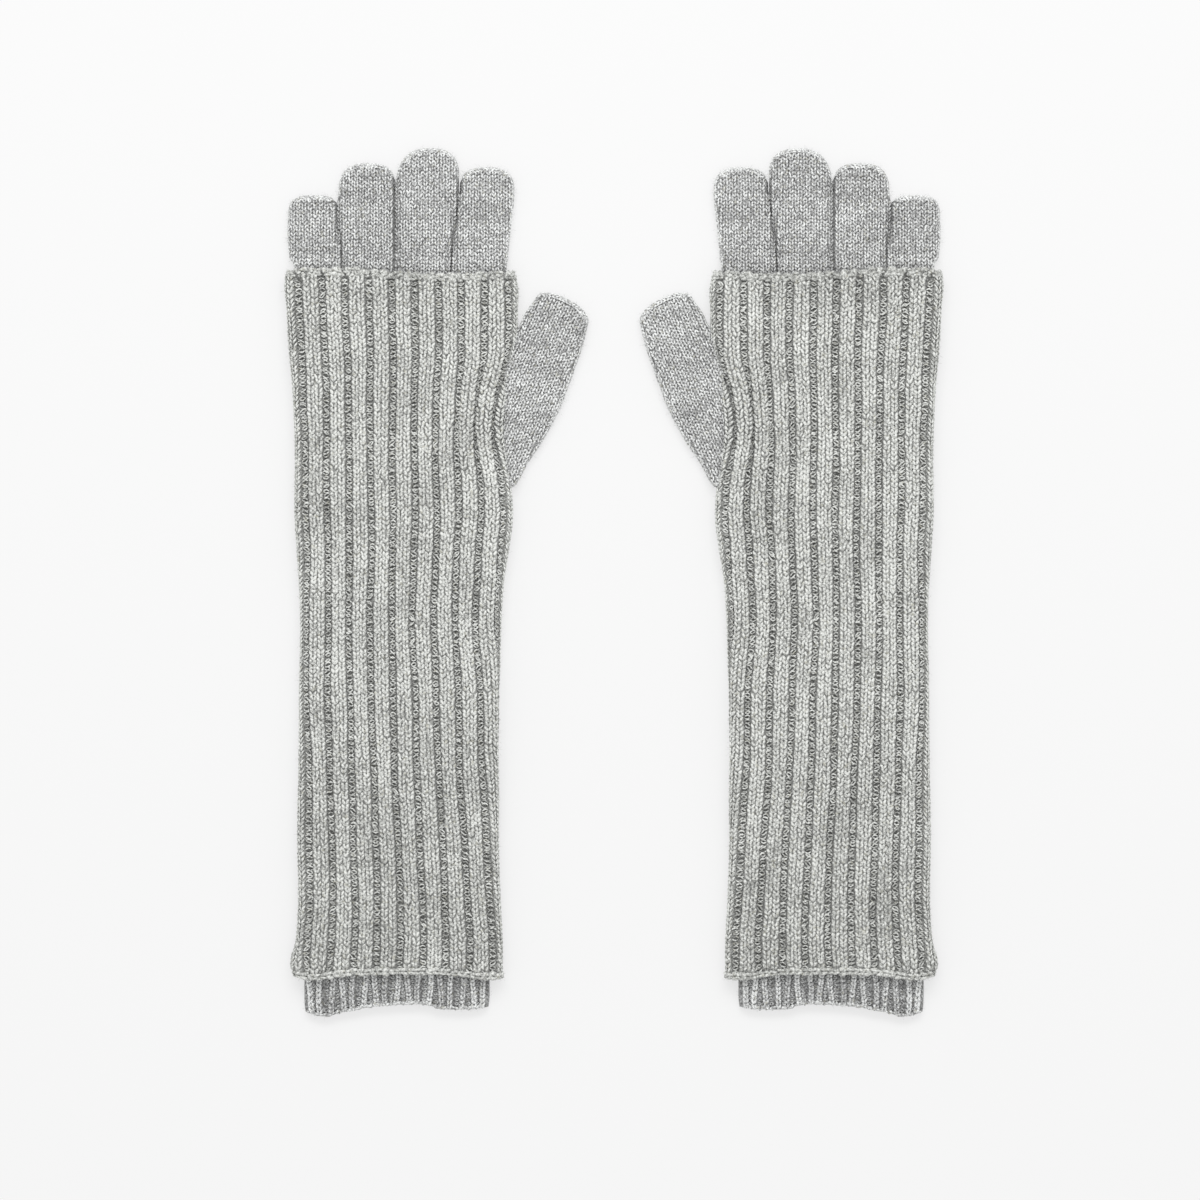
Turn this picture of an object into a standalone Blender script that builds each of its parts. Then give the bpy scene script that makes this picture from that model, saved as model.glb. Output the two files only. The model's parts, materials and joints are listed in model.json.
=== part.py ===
"""A pair of long knitted gloves laid flat side by side, mirror images of each other.

Each glove has two layers. The inner glove is a fine plain knit: a hand that runs on up the
forearm, four fingers, a thumb and a narrow-ribbed cuff. Over it lies a separate sleeve in broad
ribs, open at both ends, with a slit in its side fold that lets the thumb out.

Metres, +Z up, fingertips towards +Y. The pair rests on z = 0, and the middle of its box is at
x = y = 0. Sizes are worked out in millimetres and turned into metres where meshes are made.
One glove is described by u, its distance across from the glove's own middle line towards the
thumb, by y and by z.
"""

import math
from collections import namedtuple

import bmesh
import bpy
import numpy as np

MM = 0.001

# Driving sizes, in millimetres
HALF_LENGTH = 181.7  # from the pair's middle to the longest fingertip, and to the cuff's low corner
GLOVE_MIDDLE = 89.5  # from the pair's middle to each glove's middle line
STACK_HEIGHT = 8.2  # four layers of knit lying on each other, without the ribs
SLEEVE_WALL = 2.0
GLOVE_WALL = 1.35
LAYER_GAP = 0.4  # between the sleeve and the glove inside it
SEAM_GAP = 0.3  # between pieces that are joined end to end
FOLD_REACH = 5.0  # how far in from its side a layer takes to round over
RIB_RISE = 0.85
SIDE_RIB = 0.6  # the ribs on a side fold reach this far beyond the plain layer
TROUGH_CREASE = 0.5  # extra depth of the troughs that are pressed together beside the thumb
THUMB_SWELL = 0.5  # the thumb's root lifts the sleeve by this much
OUTSIDE_HEIGHT = 4.7  # of a finger or thumb where it lies free
CUFF_HEIGHT = 4.3
CUFF_RIB_RISE = 0.5
CUFF_RIBS = 17
FINGER_ROOT_Y = 108.2  # the line where the fingers leave the hand, under the sleeve
CUFF_TOP_Y = -146.0  # the line where the cuff leaves the forearm, under the sleeve
GLOVE_INSET = SLEEVE_WALL + LAYER_GAP

# One row for each section of the sleeve, from its hem to its top edge: the sides' places, the
# place of the first trough between ribs, and the width of a rib with its trough
Section = namedtuple("Section", "y little_side thumb_side first_trough pitch")
SLEEVE = (
    Section(-164.4, -43.6, 42.5, -38.9, 9.70),
    Section(-160.8, -45.4, 42.4, -38.9, 9.70),
    Section(-150.2, -43.3, 42.3, -38.2, 9.62),
    Section(-137.6, -42.4, 41.6, -37.4, 9.41),
    Section(-106.0, -42.6, 40.7, -37.8, 9.24),
    Section(-74.6, -42.0, 41.2, -38.2, 9.03),
    Section(-43.1, -41.8, 41.4, -39.1, 9.07),
    Section(-11.6, -41.4, 42.0, -38.8, 8.82),
    Section(1.0, -42.0, 42.9, -38.8, 8.90),
    Section(13.7, -42.8, 44.9, -38.7, 8.95),
    Section(28.4, -43.7, 46.6, -39.4, 9.18),
    Section(38.4, -43.7, 46.0, -39.5, 9.16),
    Section(51.5, -43.5, 44.4, -39.5, 9.08),
    Section(62.0, -43.7, 43.5, -39.5, 9.08),
    Section(72.5, -44.1, 43.8, -40.0, 9.22),
    Section(83.0, -44.7, 44.4, -40.1, 9.28),
    Section(93.5, -45.8, 46.3, -40.7, 9.49),
    Section(104.0, -46.6, 48.4, -41.4, 9.60),
    Section(114.5, -47.0, 48.6, -42.0, 9.68),
    Section(123.5, -47.9, 48.8, -42.2, 9.70),
    Section(129.8, -47.2, 47.6, -42.4, 9.70),
)
# How far the sleeve's two ends stand above or below the straight line across them
Wave = namedtuple("Wave", "u rise")
TOP_EDGE = (Wave(-47, 0.6), Wave(-23, 1.5), Wave(0, -0.2), Wave(23, -1.0), Wave(44, 0.0))
HEM_EDGE = (
    Wave(-44, -0.4),
    Wave(-39, -1.3),
    Wave(-22, 0.3),
    Wave(0, 0.9),
    Wave(22, 0.4),
    Wave(36, -1.3),
    Wave(42, -1.2),
)
CUFF_EDGE = (
    Wave(-40, -2.0),
    Wave(-32, -3.76),
    Wave(-23, -1.6),
    Wave(0, 1.2),
    Wave(11, 1.1),
    Wave(17, -0.4),
    Wave(27, -0.8),
    Wave(37, 0.1),
)
# Where the hand, and the sleeve's plain inside round it, have a section
HAND_ROWS = (-125.0, -75.0, -20.0, 13.7, 28.4, 45.0, 62.0, 80.0, 95.0)
EDGE_FADE = 17.0  # the waves of an edge die away over this distance
# Rings that shape the sleeve's bound edges: distance in from the end, share of the rib's rise
# that is left, and how far the whole ring stands proud
EdgeRing = namedtuple("EdgeRing", "inward ribs proud")
BOUND_EDGE = (EdgeRing(0.0, 0.3, -0.25), EdgeRing(0.9, 0.4, 0.5), EdgeRing(2.4, 0.45, 0.45))
EDGE_GROOVE = EdgeRing(3.3, 0.75, -0.1)
# A rib across its width: the share of the way to the next trough, and the share of its rise
RIB_SHAPE = ((0.0, 0.0), (0.22, 0.95), (0.5, 0.88), (0.78, 0.95))
FIRST_RIB, LAST_RIB = -1, 10
SIDE_LIMIT = 0.6  # past this share of a side fold the ribs are drawn together
CROWD_Y, CROWD_SPAN = 68.0, 29.0  # where the ribs crowd together beside the thumb
CROWD_PULL = 0.44

# The slit for the thumb in the sleeve's side, and the opening for it in the hand's side
SLIT_TOP_Y, SLIT_LOW_Y = 107.6, 35.6
OPENING_TOP_Y, OPENING_LOW_Y = 90.0, 42.0
OPENING_HALF_HEIGHT = 0.28
CUT_FROM, CUT_TO = 36.0, 56.0
SLOT_END_POINTS = 5

# One row for each section of a finger, from its root to where its tip begins to round: the side
# towards the little finger and the side towards the thumb
Girth = namedtuple("Girth", "y little_side thumb_side")
Finger = namedtuple("Finger", "name girths tip_reach tip_power tip_shift")
FINGERS = (
    Finger(
        "little_finger",
        (
            Girth(FINGER_ROOT_Y, -43.0, -24.5),
            Girth(131.0, -44.0, -24.3),
            Girth(136.5, -46.2, -25.0),
            Girth(144.5, -47.0, -25.8),
            Girth(153.5, -46.9, -26.7),
        ),
        8.4,
        3.4,
        0.5,
    ),
    Finger(
        "ring_finger",
        (
            Girth(FINGER_ROOT_Y, -24.1, -3.0),
            Girth(131.0, -23.9, -2.4),
            Girth(144.5, -25.4, -2.3),
            Girth(156.5, -26.3, -2.3),
            Girth(165.0, -25.6, -2.7),
        ),
        10.4,
        2.7,
        0.6,
    ),
    Finger(
        "middle_finger",
        (
            Girth(FINGER_ROOT_Y, -2.5, 20.3),
            Girth(131.0, -2.0, 20.9),
            Girth(148.0, -1.9, 22.5),
            Girth(158.5, -1.9, 23.8),
            Girth(167.5, -1.6, 24.1),
        ),
        HALF_LENGTH - 167.5,
        2.6,
        1.2,
    ),
    Finger(
        "index_finger",
        (
            Girth(FINGER_ROOT_Y, 20.8, 42.5),
            Girth(131.0, 21.3, 44.2),
            Girth(148.0, 22.9, 45.9),
            Girth(158.5, 24.3, 47.1),
            Girth(164.5, 25.3, 47.4),
        ),
        9.2,
        2.7,
        -0.4,
    ),
)
# The thumb's sections fan out from the hand's side: the ends of each one, on the side towards the
# fingers and on the outer side
Fan = namedtuple("Fan", "inner_u inner_y outer_u outer_y")
THUMB = (
    Fan(43.5, 92.6, 43.5, 39.3),
    Fan(46.2, 98.8, 48.4, 41.2),
    Fan(47.8, 102.4, 53.3, 50.0),
    Fan(49.0, 105.4, 58.8, 58.6),
    Fan(50.8, 108.8, 66.3, 72.4),
    Fan(52.5, 112.4, 71.0, 85.0),
    Fan(54.4, 115.6, 75.6, 97.6),
    Fan(56.4, 118.0, 78.0, 107.4),
)
THUMB_TIP_REACH, THUMB_TIP_POWER, THUMB_TIP_SHIFT = 6.4, 2.4, -0.6
BOW_FADE = (1.0, 0.55, 0.2)  # how far the first sections follow the hand's curved side

CUFF = (
    Girth(-178.0, -39.9, 36.8),
    Girth(-175.0, -40.3, 37.2),
    Girth(-170.0, -40.3, 37.3),
    Girth(-164.5, -40.1, 37.4),
    Girth(-156.0, -39.9, 37.9),
    Girth(CUFF_TOP_Y - SEAM_GAP, -39.7, 38.4),
)

# Steps of a rounded fingertip, as shares of its reach
TIP_STEPS = (0.42, 0.72, 0.92)
DIGIT_TOP_POINTS = 8
DIGIT_FLAT = (0.84, 0.3, -0.3, -0.84)  # places across a finger's flat underside
SIDE_HEIGHT = 0.45  # the height of a finger's widest line, as a share of its own

KNIT_COLOURS = {
    "sleeve": (0.43, 0.44, 0.42),
    "hand": (0.42, 0.42, 0.42),
    "cuff": (0.36, 0.36, 0.35),
    "little_finger": (0.42, 0.42, 0.42),
    "ring_finger": (0.43, 0.43, 0.43),
    "middle_finger": (0.45, 0.46, 0.45),
    "index_finger": (0.45, 0.46, 0.45),
    "thumb": (0.46, 0.46, 0.46),
}
KNIT_ROUGHNESS = 0.95
SHARP_ANGLE = math.radians(55)

Spot = namedtuple("Spot", "u y z share")


# Curves through the tables


def through(rows, across, value, at):
    """The value at a place on the smooth curve through a table's rows, which go upwards."""
    places = np.array([getattr(row, across) for row in rows], float)
    values = np.array([getattr(row, value) for row in rows], float)
    slopes = np.gradient(values, places)
    at = min(max(at, places[0]), places[-1])
    i = int(min(max(np.searchsorted(places, at) - 1, 0), len(places) - 2))
    step = places[i + 1] - places[i]
    t = (at - places[i]) / step
    start = (2 * t**3 - 3 * t**2 + 1) * values[i] + (t**3 - 2 * t**2 + t) * step * slopes[i]
    end = (3 * t**2 - 2 * t**3) * values[i + 1] + (t**3 - t**2) * step * slopes[i + 1]
    return float(start + end)


def ease(low, high, x):
    """0 below low, 1 above high and a soft step between them."""
    t = min(max((x - low) / (high - low), 0.0), 1.0)
    return t * t * (3 - 2 * t)


# The sleeve's section


def sides(y):
    """Both sides of the sleeve's plain layer at y, as places across."""
    little = through(SLEEVE, "y", "little_side", y) + SIDE_RIB
    return little, through(SLEEVE, "y", "thumb_side", y) - SIDE_RIB


def crowding(y):
    """1 where the ribs are pressed together beside the thumb, 0 away from there."""
    away = abs(y - CROWD_Y) / CROWD_SPAN
    return math.cos(math.pi / 2 * away) ** 2 if away < 1 else 0.0


def trough(rib, y):
    """The place across of the trough before a rib."""
    even = through(SLEEVE, "y", "first_trough", y) + rib * through(SLEEVE, "y", "pitch", y)
    pulled = max(min(rib, 9) - 6, 0)
    return even - CROWD_PULL * pulled**2 * crowding(y)


def top_height(u, y):
    """The height of the sleeve's plain top, without its ribs."""
    return STACK_HEIGHT + THUMB_SWELL * math.exp(-(((u - 20) / 13) ** 2) - ((y - 80) / 30) ** 2)


def fold_length():
    """The length of the half ellipse that the sleeve makes where it folds round its side."""
    half = STACK_HEIGHT / 2
    return math.pi * math.sqrt((FOLD_REACH**2 + half**2) / 2)


def round_section(y, walk, inset):
    """(u, z, outward u, outward z, share) of a point of the sleeve's plain section.

    walk is a distance along the section that equals u on its flat top. It goes on round the
    thumb's side and back along the underside. Below the top's start it goes round the other side.
    """
    little, thumb = sides(y)
    start, end, arc = little + FOLD_REACH, thumb - FOLD_REACH, fold_length()
    girth = 2 * (end - start + arc)
    share = (walk - start + arc) / girth
    if start <= walk <= end:
        return walk, top_height(walk, y) - inset, 0.0, 1.0, share
    if walk > end + arc:
        return end - (walk - end - arc), inset, 0.0, -1.0, share
    way, centre = (1, end) if walk > end else (-1, start)
    angle = math.pi / 2 - math.pi * abs(walk - centre) / arc
    half = top_height(centre, y) / 2
    u = centre + way * (FOLD_REACH - inset) * math.cos(angle)
    z = half + (half - inset) * math.sin(angle)
    return u, z, way * math.cos(angle), math.sin(angle), share


def ribbed_walk(y, place):
    """Keeps a rib on its side fold, drawn in as it nears the underside. Gives the share too."""
    little, thumb = sides(y)
    start, end, arc = little + FOLD_REACH, thumb - FOLD_REACH, fold_length()
    way, centre = (1, end) if place > end else (-1, start)
    past = way * (place - centre) / arc
    if past <= 0:
        return place, 0.0
    if past > SIDE_LIMIT:
        room = 0.95 - SIDE_LIMIT
        past = SIDE_LIMIT + room * (1 - math.exp(-(past - SIDE_LIMIT) / room))
    return centre + way * arc * past, past


def edge_shift(u, y):
    """How far a ring's point moves along the sleeve to follow the wave of the nearer end."""
    low, high = SLEEVE[0].y, SLEEVE[-1].y
    top = through(TOP_EDGE, "u", "rise", u) * (1 - ease(0, EDGE_FADE, high - y))
    hem = through(HEM_EDGE, "u", "rise", u) * (1 - ease(0, EDGE_FADE, y - low))
    return top + hem


def ribbed_ring(y, ribs=1.0, proud=0.0):
    """The sleeve's outer ring at y: ribs over the top and both sides, and a flat underside."""
    ring = []
    for rib in range(FIRST_RIB, LAST_RIB):
        here, after = trough(rib, y), trough(rib + 1, y)
        for share, rise in RIB_SHAPE:
            crease = TROUGH_CREASE * crowding(y) if share == 0 and rib in (8, 9) else 0.0
            ring.append(rib_point(y, here + share * (after - here), ribs * rise, proud, crease))
    ring.append(rib_point(y, trough(LAST_RIB, y), 0.0, proud, 0.0))
    ring.extend(underside(y, 0.0, 7))
    return ring


def rib_point(y, place, rise, proud, crease):
    """One point of a rib, raised from the plain section and fading out towards the underside."""
    walk, past = ribbed_walk(y, place)
    u, z, out_u, out_z, share = round_section(y, walk, 0.0)
    out = (RIB_RISE * rise + proud - crease) * (1 - ease(0.5, 0.8, past))
    u, z = u + out * out_u, z + out * out_z
    return Spot(u, y + edge_shift(u, y), z, share)


def underside(y, inset, count):
    """Points along the flat underside, from the thumb's side to the other."""
    little, thumb = sides(y)
    start, end, arc = little + FOLD_REACH, thumb - FOLD_REACH, fold_length()
    points = []
    for i in range(count):
        walk = end + arc + (end - start) * i / (count - 1)
        u, z, _, _, share = round_section(y, walk, inset)
        points.append(Spot(u, y + edge_shift(u, y), z, share))
    return points


def plain_ring(y, inset, across=8, under=6):
    """A plain ring of the sleeve's section, set in from its outside."""
    little, thumb = sides(y)
    start, end, arc = little + FOLD_REACH, thumb - FOLD_REACH, fold_length()
    walks = [start - arc * share for share in (0.75, 0.5, 0.25)]
    walks += [start + (end - start) * i / (across - 1) for i in range(across)]
    walks += [end + arc * share for share in (0.25, 0.5, 0.75)]
    ring = []
    for walk in walks:
        u, z, _, _, share = round_section(y, walk, inset)
        ring.append(Spot(u, y + edge_shift(u, y), z, share))
    return ring + underside(y, inset, under)


# What lies inside the sleeve and comes out of it


def beyond_sleeve(u, y):
    """The distance from a point to the sleeve's outline, below 0 inside it."""
    little, thumb = sides(y)
    top = SLEEVE[-1].y + through(TOP_EDGE, "u", "rise", u)
    hem = SLEEVE[0].y + through(HEM_EDGE, "u", "rise", u)
    return max(y - top, hem - y, u - thumb, little - u)


def lift(u, y):
    """The height of the underside: on the sleeve's lower layer, then down to the ground."""
    return GLOVE_INSET * (1 - ease(0.6, 8.0, beyond_sleeve(u, y)))


def thickness(u, y, free_height):
    """The height of a finger, thumb or cuff: flat inside the sleeve and plumper outside it."""
    inside = top_height(u, y) - 2 * GLOVE_INSET
    return inside + (free_height - inside) * ease(0.0, 10.0, beyond_sleeve(u, y))


def digit_profile(top_points, flat, power=3.0):
    """(across from -1 to 1, up from 0 to 1, share of the way round) of a finger's section."""
    profile = []
    for i in range(top_points + 1):
        angle = math.pi * (1 - i / top_points)
        across = math.copysign(abs(math.cos(angle)) ** (2 / power), math.cos(angle))
        up = SIDE_HEIGHT + (1 - SIDE_HEIGHT) * math.sin(angle) ** (2 / power)
        profile.append((across, up, (across + 1) / 4))
    profile += [(across, 0.0, (3 - across) / 4) for across in flat]
    return profile


def digit_ring(first, second, inset, free_height, flatten=1.0, bow=0.0):
    """A ring of a finger between two points of its plan, from its little-finger side."""
    width = math.dist(first, second)
    narrow = max(1 - 2 * inset / width, 0.08)
    ring = []
    for across, up, share in digit_profile(DIGIT_TOP_POINTS, DIGIT_FLAT):
        along = (across * narrow + 1) / 2
        u = first[0] + (second[0] - first[0]) * along
        y = first[1] + (second[1] - first[1]) * along
        u += bow * (hand_side(y) + 1.5 * SEAM_GAP - THUMB[0].inner_u)
        tall = thickness(u, y, free_height) * flatten
        z = lift(u, y) + inset + up * (tall - 2 * inset)
        ring.append(Spot(u, y, z, share))
    return ring


def hand_side(y):
    """The place across of the hand's side that faces the thumb."""
    return sides(y)[1] - GLOVE_INSET


def digit_rings(sections, tip_reach, tip_power, tip_shift, inset, bows):
    """Rings from a finger's root to its tip, and the point that closes it."""
    rings = []
    for i, (first, second) in enumerate(sections):
        bow = bows[i] if i < len(bows) else 0.0
        rings.append(digit_ring(first, second, inset, OUTSIDE_HEIGHT, 1.0, bow))
    first, second = sections[-1]
    width = math.dist(first, second)
    across = ((second[0] - first[0]) / width, (second[1] - first[1]) / width)
    ahead = (-across[1], across[0])
    middle = ((first[0] + second[0]) / 2, (first[1] + second[1]) / 2)
    reach, half = tip_reach - inset, width / 2 - inset
    for step in TIP_STEPS:
        wide = half * (1 - step**tip_power) ** (1 / tip_power) + inset
        centre = [
            middle[k] + ahead[k] * reach * step + across[k] * tip_shift * step for k in (0, 1)
        ]
        ends = [[centre[k] + way * wide * across[k] for k in (0, 1)] for way in (-1, 1)]
        rings.append(digit_ring(*ends, inset, OUTSIDE_HEIGHT, 1 - 0.3 * step**3))
    u, y = (middle[k] + ahead[k] * reach + across[k] * tip_shift for k in (0, 1))
    return rings, Spot(u, y, 0.45 * OUTSIDE_HEIGHT, 0.0)


# Building meshes


def add_ring(mesh, ring, way):
    """Adds a ring's points to a mesh, mirrored when way is -1."""
    return [mesh.verts.new((way * spot.u * MM, spot.y * MM, spot.z * MM)) for spot in ring]


def join_rings(mesh, low, high):
    """Quads between two rings of as many points."""
    count = len(low)
    for i in range(count):
        after = (i + 1) % count
        mesh.faces.new((low[i], low[after], high[after], high[i]))


def join_unlike(mesh, low, high, low_shares, high_shares):
    """Triangles between two rings whose points differ in number, matched by their shares."""
    i = j = 0
    low_next = [*low_shares[1:], low_shares[0] + 1]
    high_next = [*high_shares[1:], high_shares[0] + 1]
    while i < len(low) or j < len(high):
        if j == len(high) or (i < len(low) and low_next[i] <= high_next[j]):
            mesh.faces.new((low[i], low[(i + 1) % len(low)], high[j % len(high)]))
            i += 1
        else:
            mesh.faces.new((low[i % len(low)], high[(j + 1) % len(high)], high[j]))
            j += 1


def wall(outer, inner, way, outer_tip=None, inner_tip=None):
    """A mesh of cloth between outer and inner rings, open at its ends or closed at its tip."""
    mesh = bmesh.new()
    outside = [add_ring(mesh, ring, way) for ring in outer]
    inside = [add_ring(mesh, ring, way) for ring in inner]
    for rings in (outside, inside):
        for low, high in zip(rings, rings[1:]):
            join_rings(mesh, low, high)
    ends = [0] if outer_tip else [0, -1]
    for end in ends:
        shares = [[spot.share for spot in rings[end]] for rings in (outer, inner)]
        join_unlike(mesh, outside[end], inside[end], *shares)
    if outer_tip:
        for rings, tip in ((outside, outer_tip), (inside, inner_tip)):
            pole = add_ring(mesh, [tip], way)[0]
            last = rings[-1]
            for i, vertex in enumerate(last):
                mesh.faces.new((vertex, last[(i + 1) % len(last)], pole))
    bmesh.ops.recalc_face_normals(mesh, faces=mesh.faces)
    if mesh.calc_volume(signed=True) < 0:
        bmesh.ops.reverse_faces(mesh, faces=mesh.faces)
    return mesh


def knit_material(name, colour):
    """A matt yarn colour."""
    material = bpy.data.materials.new(name)
    material.use_nodes = True
    shader = material.node_tree.nodes["Principled BSDF"]
    shader.inputs["Base Color"].default_value = (*colour, 1)
    shader.inputs["Roughness"].default_value = KNIT_ROUGHNESS
    shader.inputs["Metallic"].default_value = 0.0
    return material


def add_piece(mesh, glove, piece):
    """Makes a piece's object from its mesh, parented to its glove's empty."""
    name = f"{glove.name}_{piece}"
    data = bpy.data.meshes.new(name)
    mesh.to_mesh(data)
    mesh.free()
    data.shade_smooth()
    data.set_sharp_from_angle(angle=SHARP_ANGLE)
    data.materials.append(knit_material(name, KNIT_COLOURS[piece]))
    made = bpy.data.objects.new(name, data)
    made.parent = glove
    bpy.context.collection.objects.link(made)
    return made


def slot_cutter(glove, name, way, low_y, high_y, middle_z, half_height):
    """A flat slot with round ends that runs across, as a guide for cutting a side open."""
    mesh = bmesh.new()
    near, far = [], []
    for centre, turn in ((high_y - half_height, 0.0), (low_y + half_height, math.pi)):
        for i in range(SLOT_END_POINTS):
            angle = turn + math.pi * i / (SLOT_END_POINTS - 1)
            y = (centre + half_height * math.sin(angle)) * MM
            z = (middle_z + half_height * math.cos(angle)) * MM
            near.append(mesh.verts.new((way * CUT_FROM * MM, y, z)))
            far.append(mesh.verts.new((way * CUT_TO * MM, y, z)))
    join_rings(mesh, near, far)
    mesh.faces.new(near)
    mesh.faces.new(far)
    bmesh.ops.recalc_face_normals(mesh, faces=mesh.faces)
    data = bpy.data.meshes.new(name)
    mesh.to_mesh(data)
    mesh.free()
    cutter = bpy.data.objects.new(name, data)
    cutter.parent = glove
    cutter.hide_render = True
    cutter.display_type = "WIRE"
    bpy.context.collection.objects.link(cutter)
    return cutter


def cut(piece, cutter):
    """Takes a cutter's shape out of a piece."""
    boolean = piece.modifiers.new("opening", "BOOLEAN")
    boolean.operation = "DIFFERENCE"
    boolean.solver = "EXACT"
    boolean.object = cutter


# The pieces


def make_sleeve(glove, way):
    """The ribbed sleeve, with bound edges at both ends and the slit for the thumb."""
    low, high = SLEEVE[0].y, SLEEVE[-1].y
    edge = (*BOUND_EDGE, EDGE_GROOVE)
    outer = [ribbed_ring(low + ring.inward, ring.ribs, ring.proud) for ring in edge]
    outer += [ribbed_ring(row.y) for row in SLEEVE if low + 8 < row.y < high - 5]
    outer += [ribbed_ring(high - ring.inward, ring.ribs, ring.proud) for ring in edge[::-1]]
    inner_rows = (low, CUFF[3].y, CUFF_TOP_Y, *HAND_ROWS, FINGER_ROOT_Y, high)
    inner = [plain_ring(y, SLEEVE_WALL) for y in inner_rows]
    sleeve = add_piece(wall(outer, inner, way), glove, "sleeve")
    middle = STACK_HEIGHT / 2
    half = middle - SLEEVE_WALL - 0.08
    name = f"{glove.name}_slit_cutter"
    cut(sleeve, slot_cutter(glove, name, way, SLIT_LOW_Y, SLIT_TOP_Y, middle, half))


def make_hand(glove, way):
    """The hand and forearm of the inner glove, with an opening where the thumb joins it."""
    rows = (CUFF_TOP_Y, *HAND_ROWS, FINGER_ROOT_Y - SEAM_GAP)
    outer = [plain_ring(y, GLOVE_INSET) for y in rows]
    inner = [plain_ring(y, GLOVE_INSET + GLOVE_WALL) for y in rows]
    hand = add_piece(wall(outer, inner, way), glove, "hand")
    name = f"{glove.name}_thumb_opening_cutter"
    spot = (OPENING_LOW_Y, OPENING_TOP_Y, STACK_HEIGHT / 2, OPENING_HALF_HEIGHT)
    cut(hand, slot_cutter(glove, name, way, *spot))


def make_finger(glove, way, finger):
    """A finger of the inner glove, open at its root."""
    sections = [((g.little_side, g.y), (g.thumb_side, g.y)) for g in finger.girths]
    make_digit(glove, way, finger.name, sections, finger[2:], ())


def make_thumb(glove, way):
    """The thumb, whose root lies along the opening in the hand's side."""
    sections = [((fan.inner_u, fan.inner_y), (fan.outer_u, fan.outer_y)) for fan in THUMB]
    tip = (THUMB_TIP_REACH, THUMB_TIP_POWER, THUMB_TIP_SHIFT)
    make_digit(glove, way, "thumb", sections, tip, BOW_FADE)


def make_digit(glove, way, name, sections, tip, bows):
    """A finger or thumb as a wall of cloth with a closed, rounded tip."""
    outer, outer_tip = digit_rings(sections, *tip, 0.0, bows)
    inner, inner_tip = digit_rings(sections, *tip, GLOVE_WALL, bows)
    add_piece(wall(outer, inner, way, outer_tip, inner_tip), glove, name)


def cuff_ring(girth, inset, ribbed):
    """A ring of the cuff, with narrow ribs raised over its top when ribbed."""
    steps = 2 * CUFF_RIBS if ribbed else DIGIT_TOP_POINTS
    ring = []
    for i in range(steps + 1):
        across = 2 * i / steps - 1
        up = SIDE_HEIGHT + (1 - SIDE_HEIGHT) * (1 - abs(across) ** 9) ** (1 / 2.5)
        sunk = CUFF_RIB_RISE if ribbed and i % 2 == 0 and 0 < i < steps else 0.0
        ring.append(cuff_point(girth, inset, across, up, sunk, (across + 1) / 4))
    for across in (0.94, 0.6, 0.2, -0.2, -0.6, -0.94):
        ring.append(cuff_point(girth, inset, across, 0.0, 0.0, (3 - across) / 4))
    return ring


def cuff_point(girth, inset, across, up, sunk, share):
    """One point of the cuff, with its lower edge following the cuff's wave."""
    half = (girth.thumb_side - girth.little_side) / 2 - inset
    u = (girth.thumb_side + girth.little_side) / 2 + across * half
    wave = through(CUFF_EDGE, "u", "rise", u) * (1 - ease(0, 10, girth.y - CUFF[0].y))
    y = girth.y + wave
    tall = thickness(u, y, CUFF_HEIGHT)
    return Spot(u, y, lift(u, y) + inset + up * (tall - 2 * inset) - sunk, share)


def make_cuff(glove, way):
    """The narrow-ribbed cuff at the end of the forearm."""
    outer = [cuff_ring(girth, 0.0, True) for girth in CUFF]
    inner = [cuff_ring(girth, GLOVE_WALL, False) for girth in CUFF]
    add_piece(wall(outer, inner, way), glove, "cuff")


def make_glove(name, way):
    """One glove. way is 1 when its thumb points to +X, and -1 for its mirror image."""
    glove = bpy.data.objects.new(name, None)
    glove.location = (-way * GLOVE_MIDDLE * MM, 0, 0)
    bpy.context.collection.objects.link(glove)
    make_sleeve(glove, way)
    make_hand(glove, way)
    make_cuff(glove, way)
    make_thumb(glove, way)
    for finger in FINGERS:
        make_finger(glove, way, finger)


def main():
    for left_over in list(bpy.data.objects):
        bpy.data.objects.remove(left_over)
    make_glove("left", 1)
    make_glove("right", -1)


main()
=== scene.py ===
"""Knits a pair of long two-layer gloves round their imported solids.

Each glove has a fine plain glove inside and a separate broad-ribbed sleeve over it. Every solid gets
a thin wall of cloth on its own form. On top and round the side folds the cloth carries its stitches:
each leg of a stitch is a short closed spindle of yarn. Underneath, the stitches are in the finish.

Places and sizes are in millimetres until a mesh is made. One glove is described by u, its distance
across from the glove's own middle line towards the thumb, by y towards the fingertips, and by z.
"""

import json
import math
from collections import namedtuple

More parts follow.
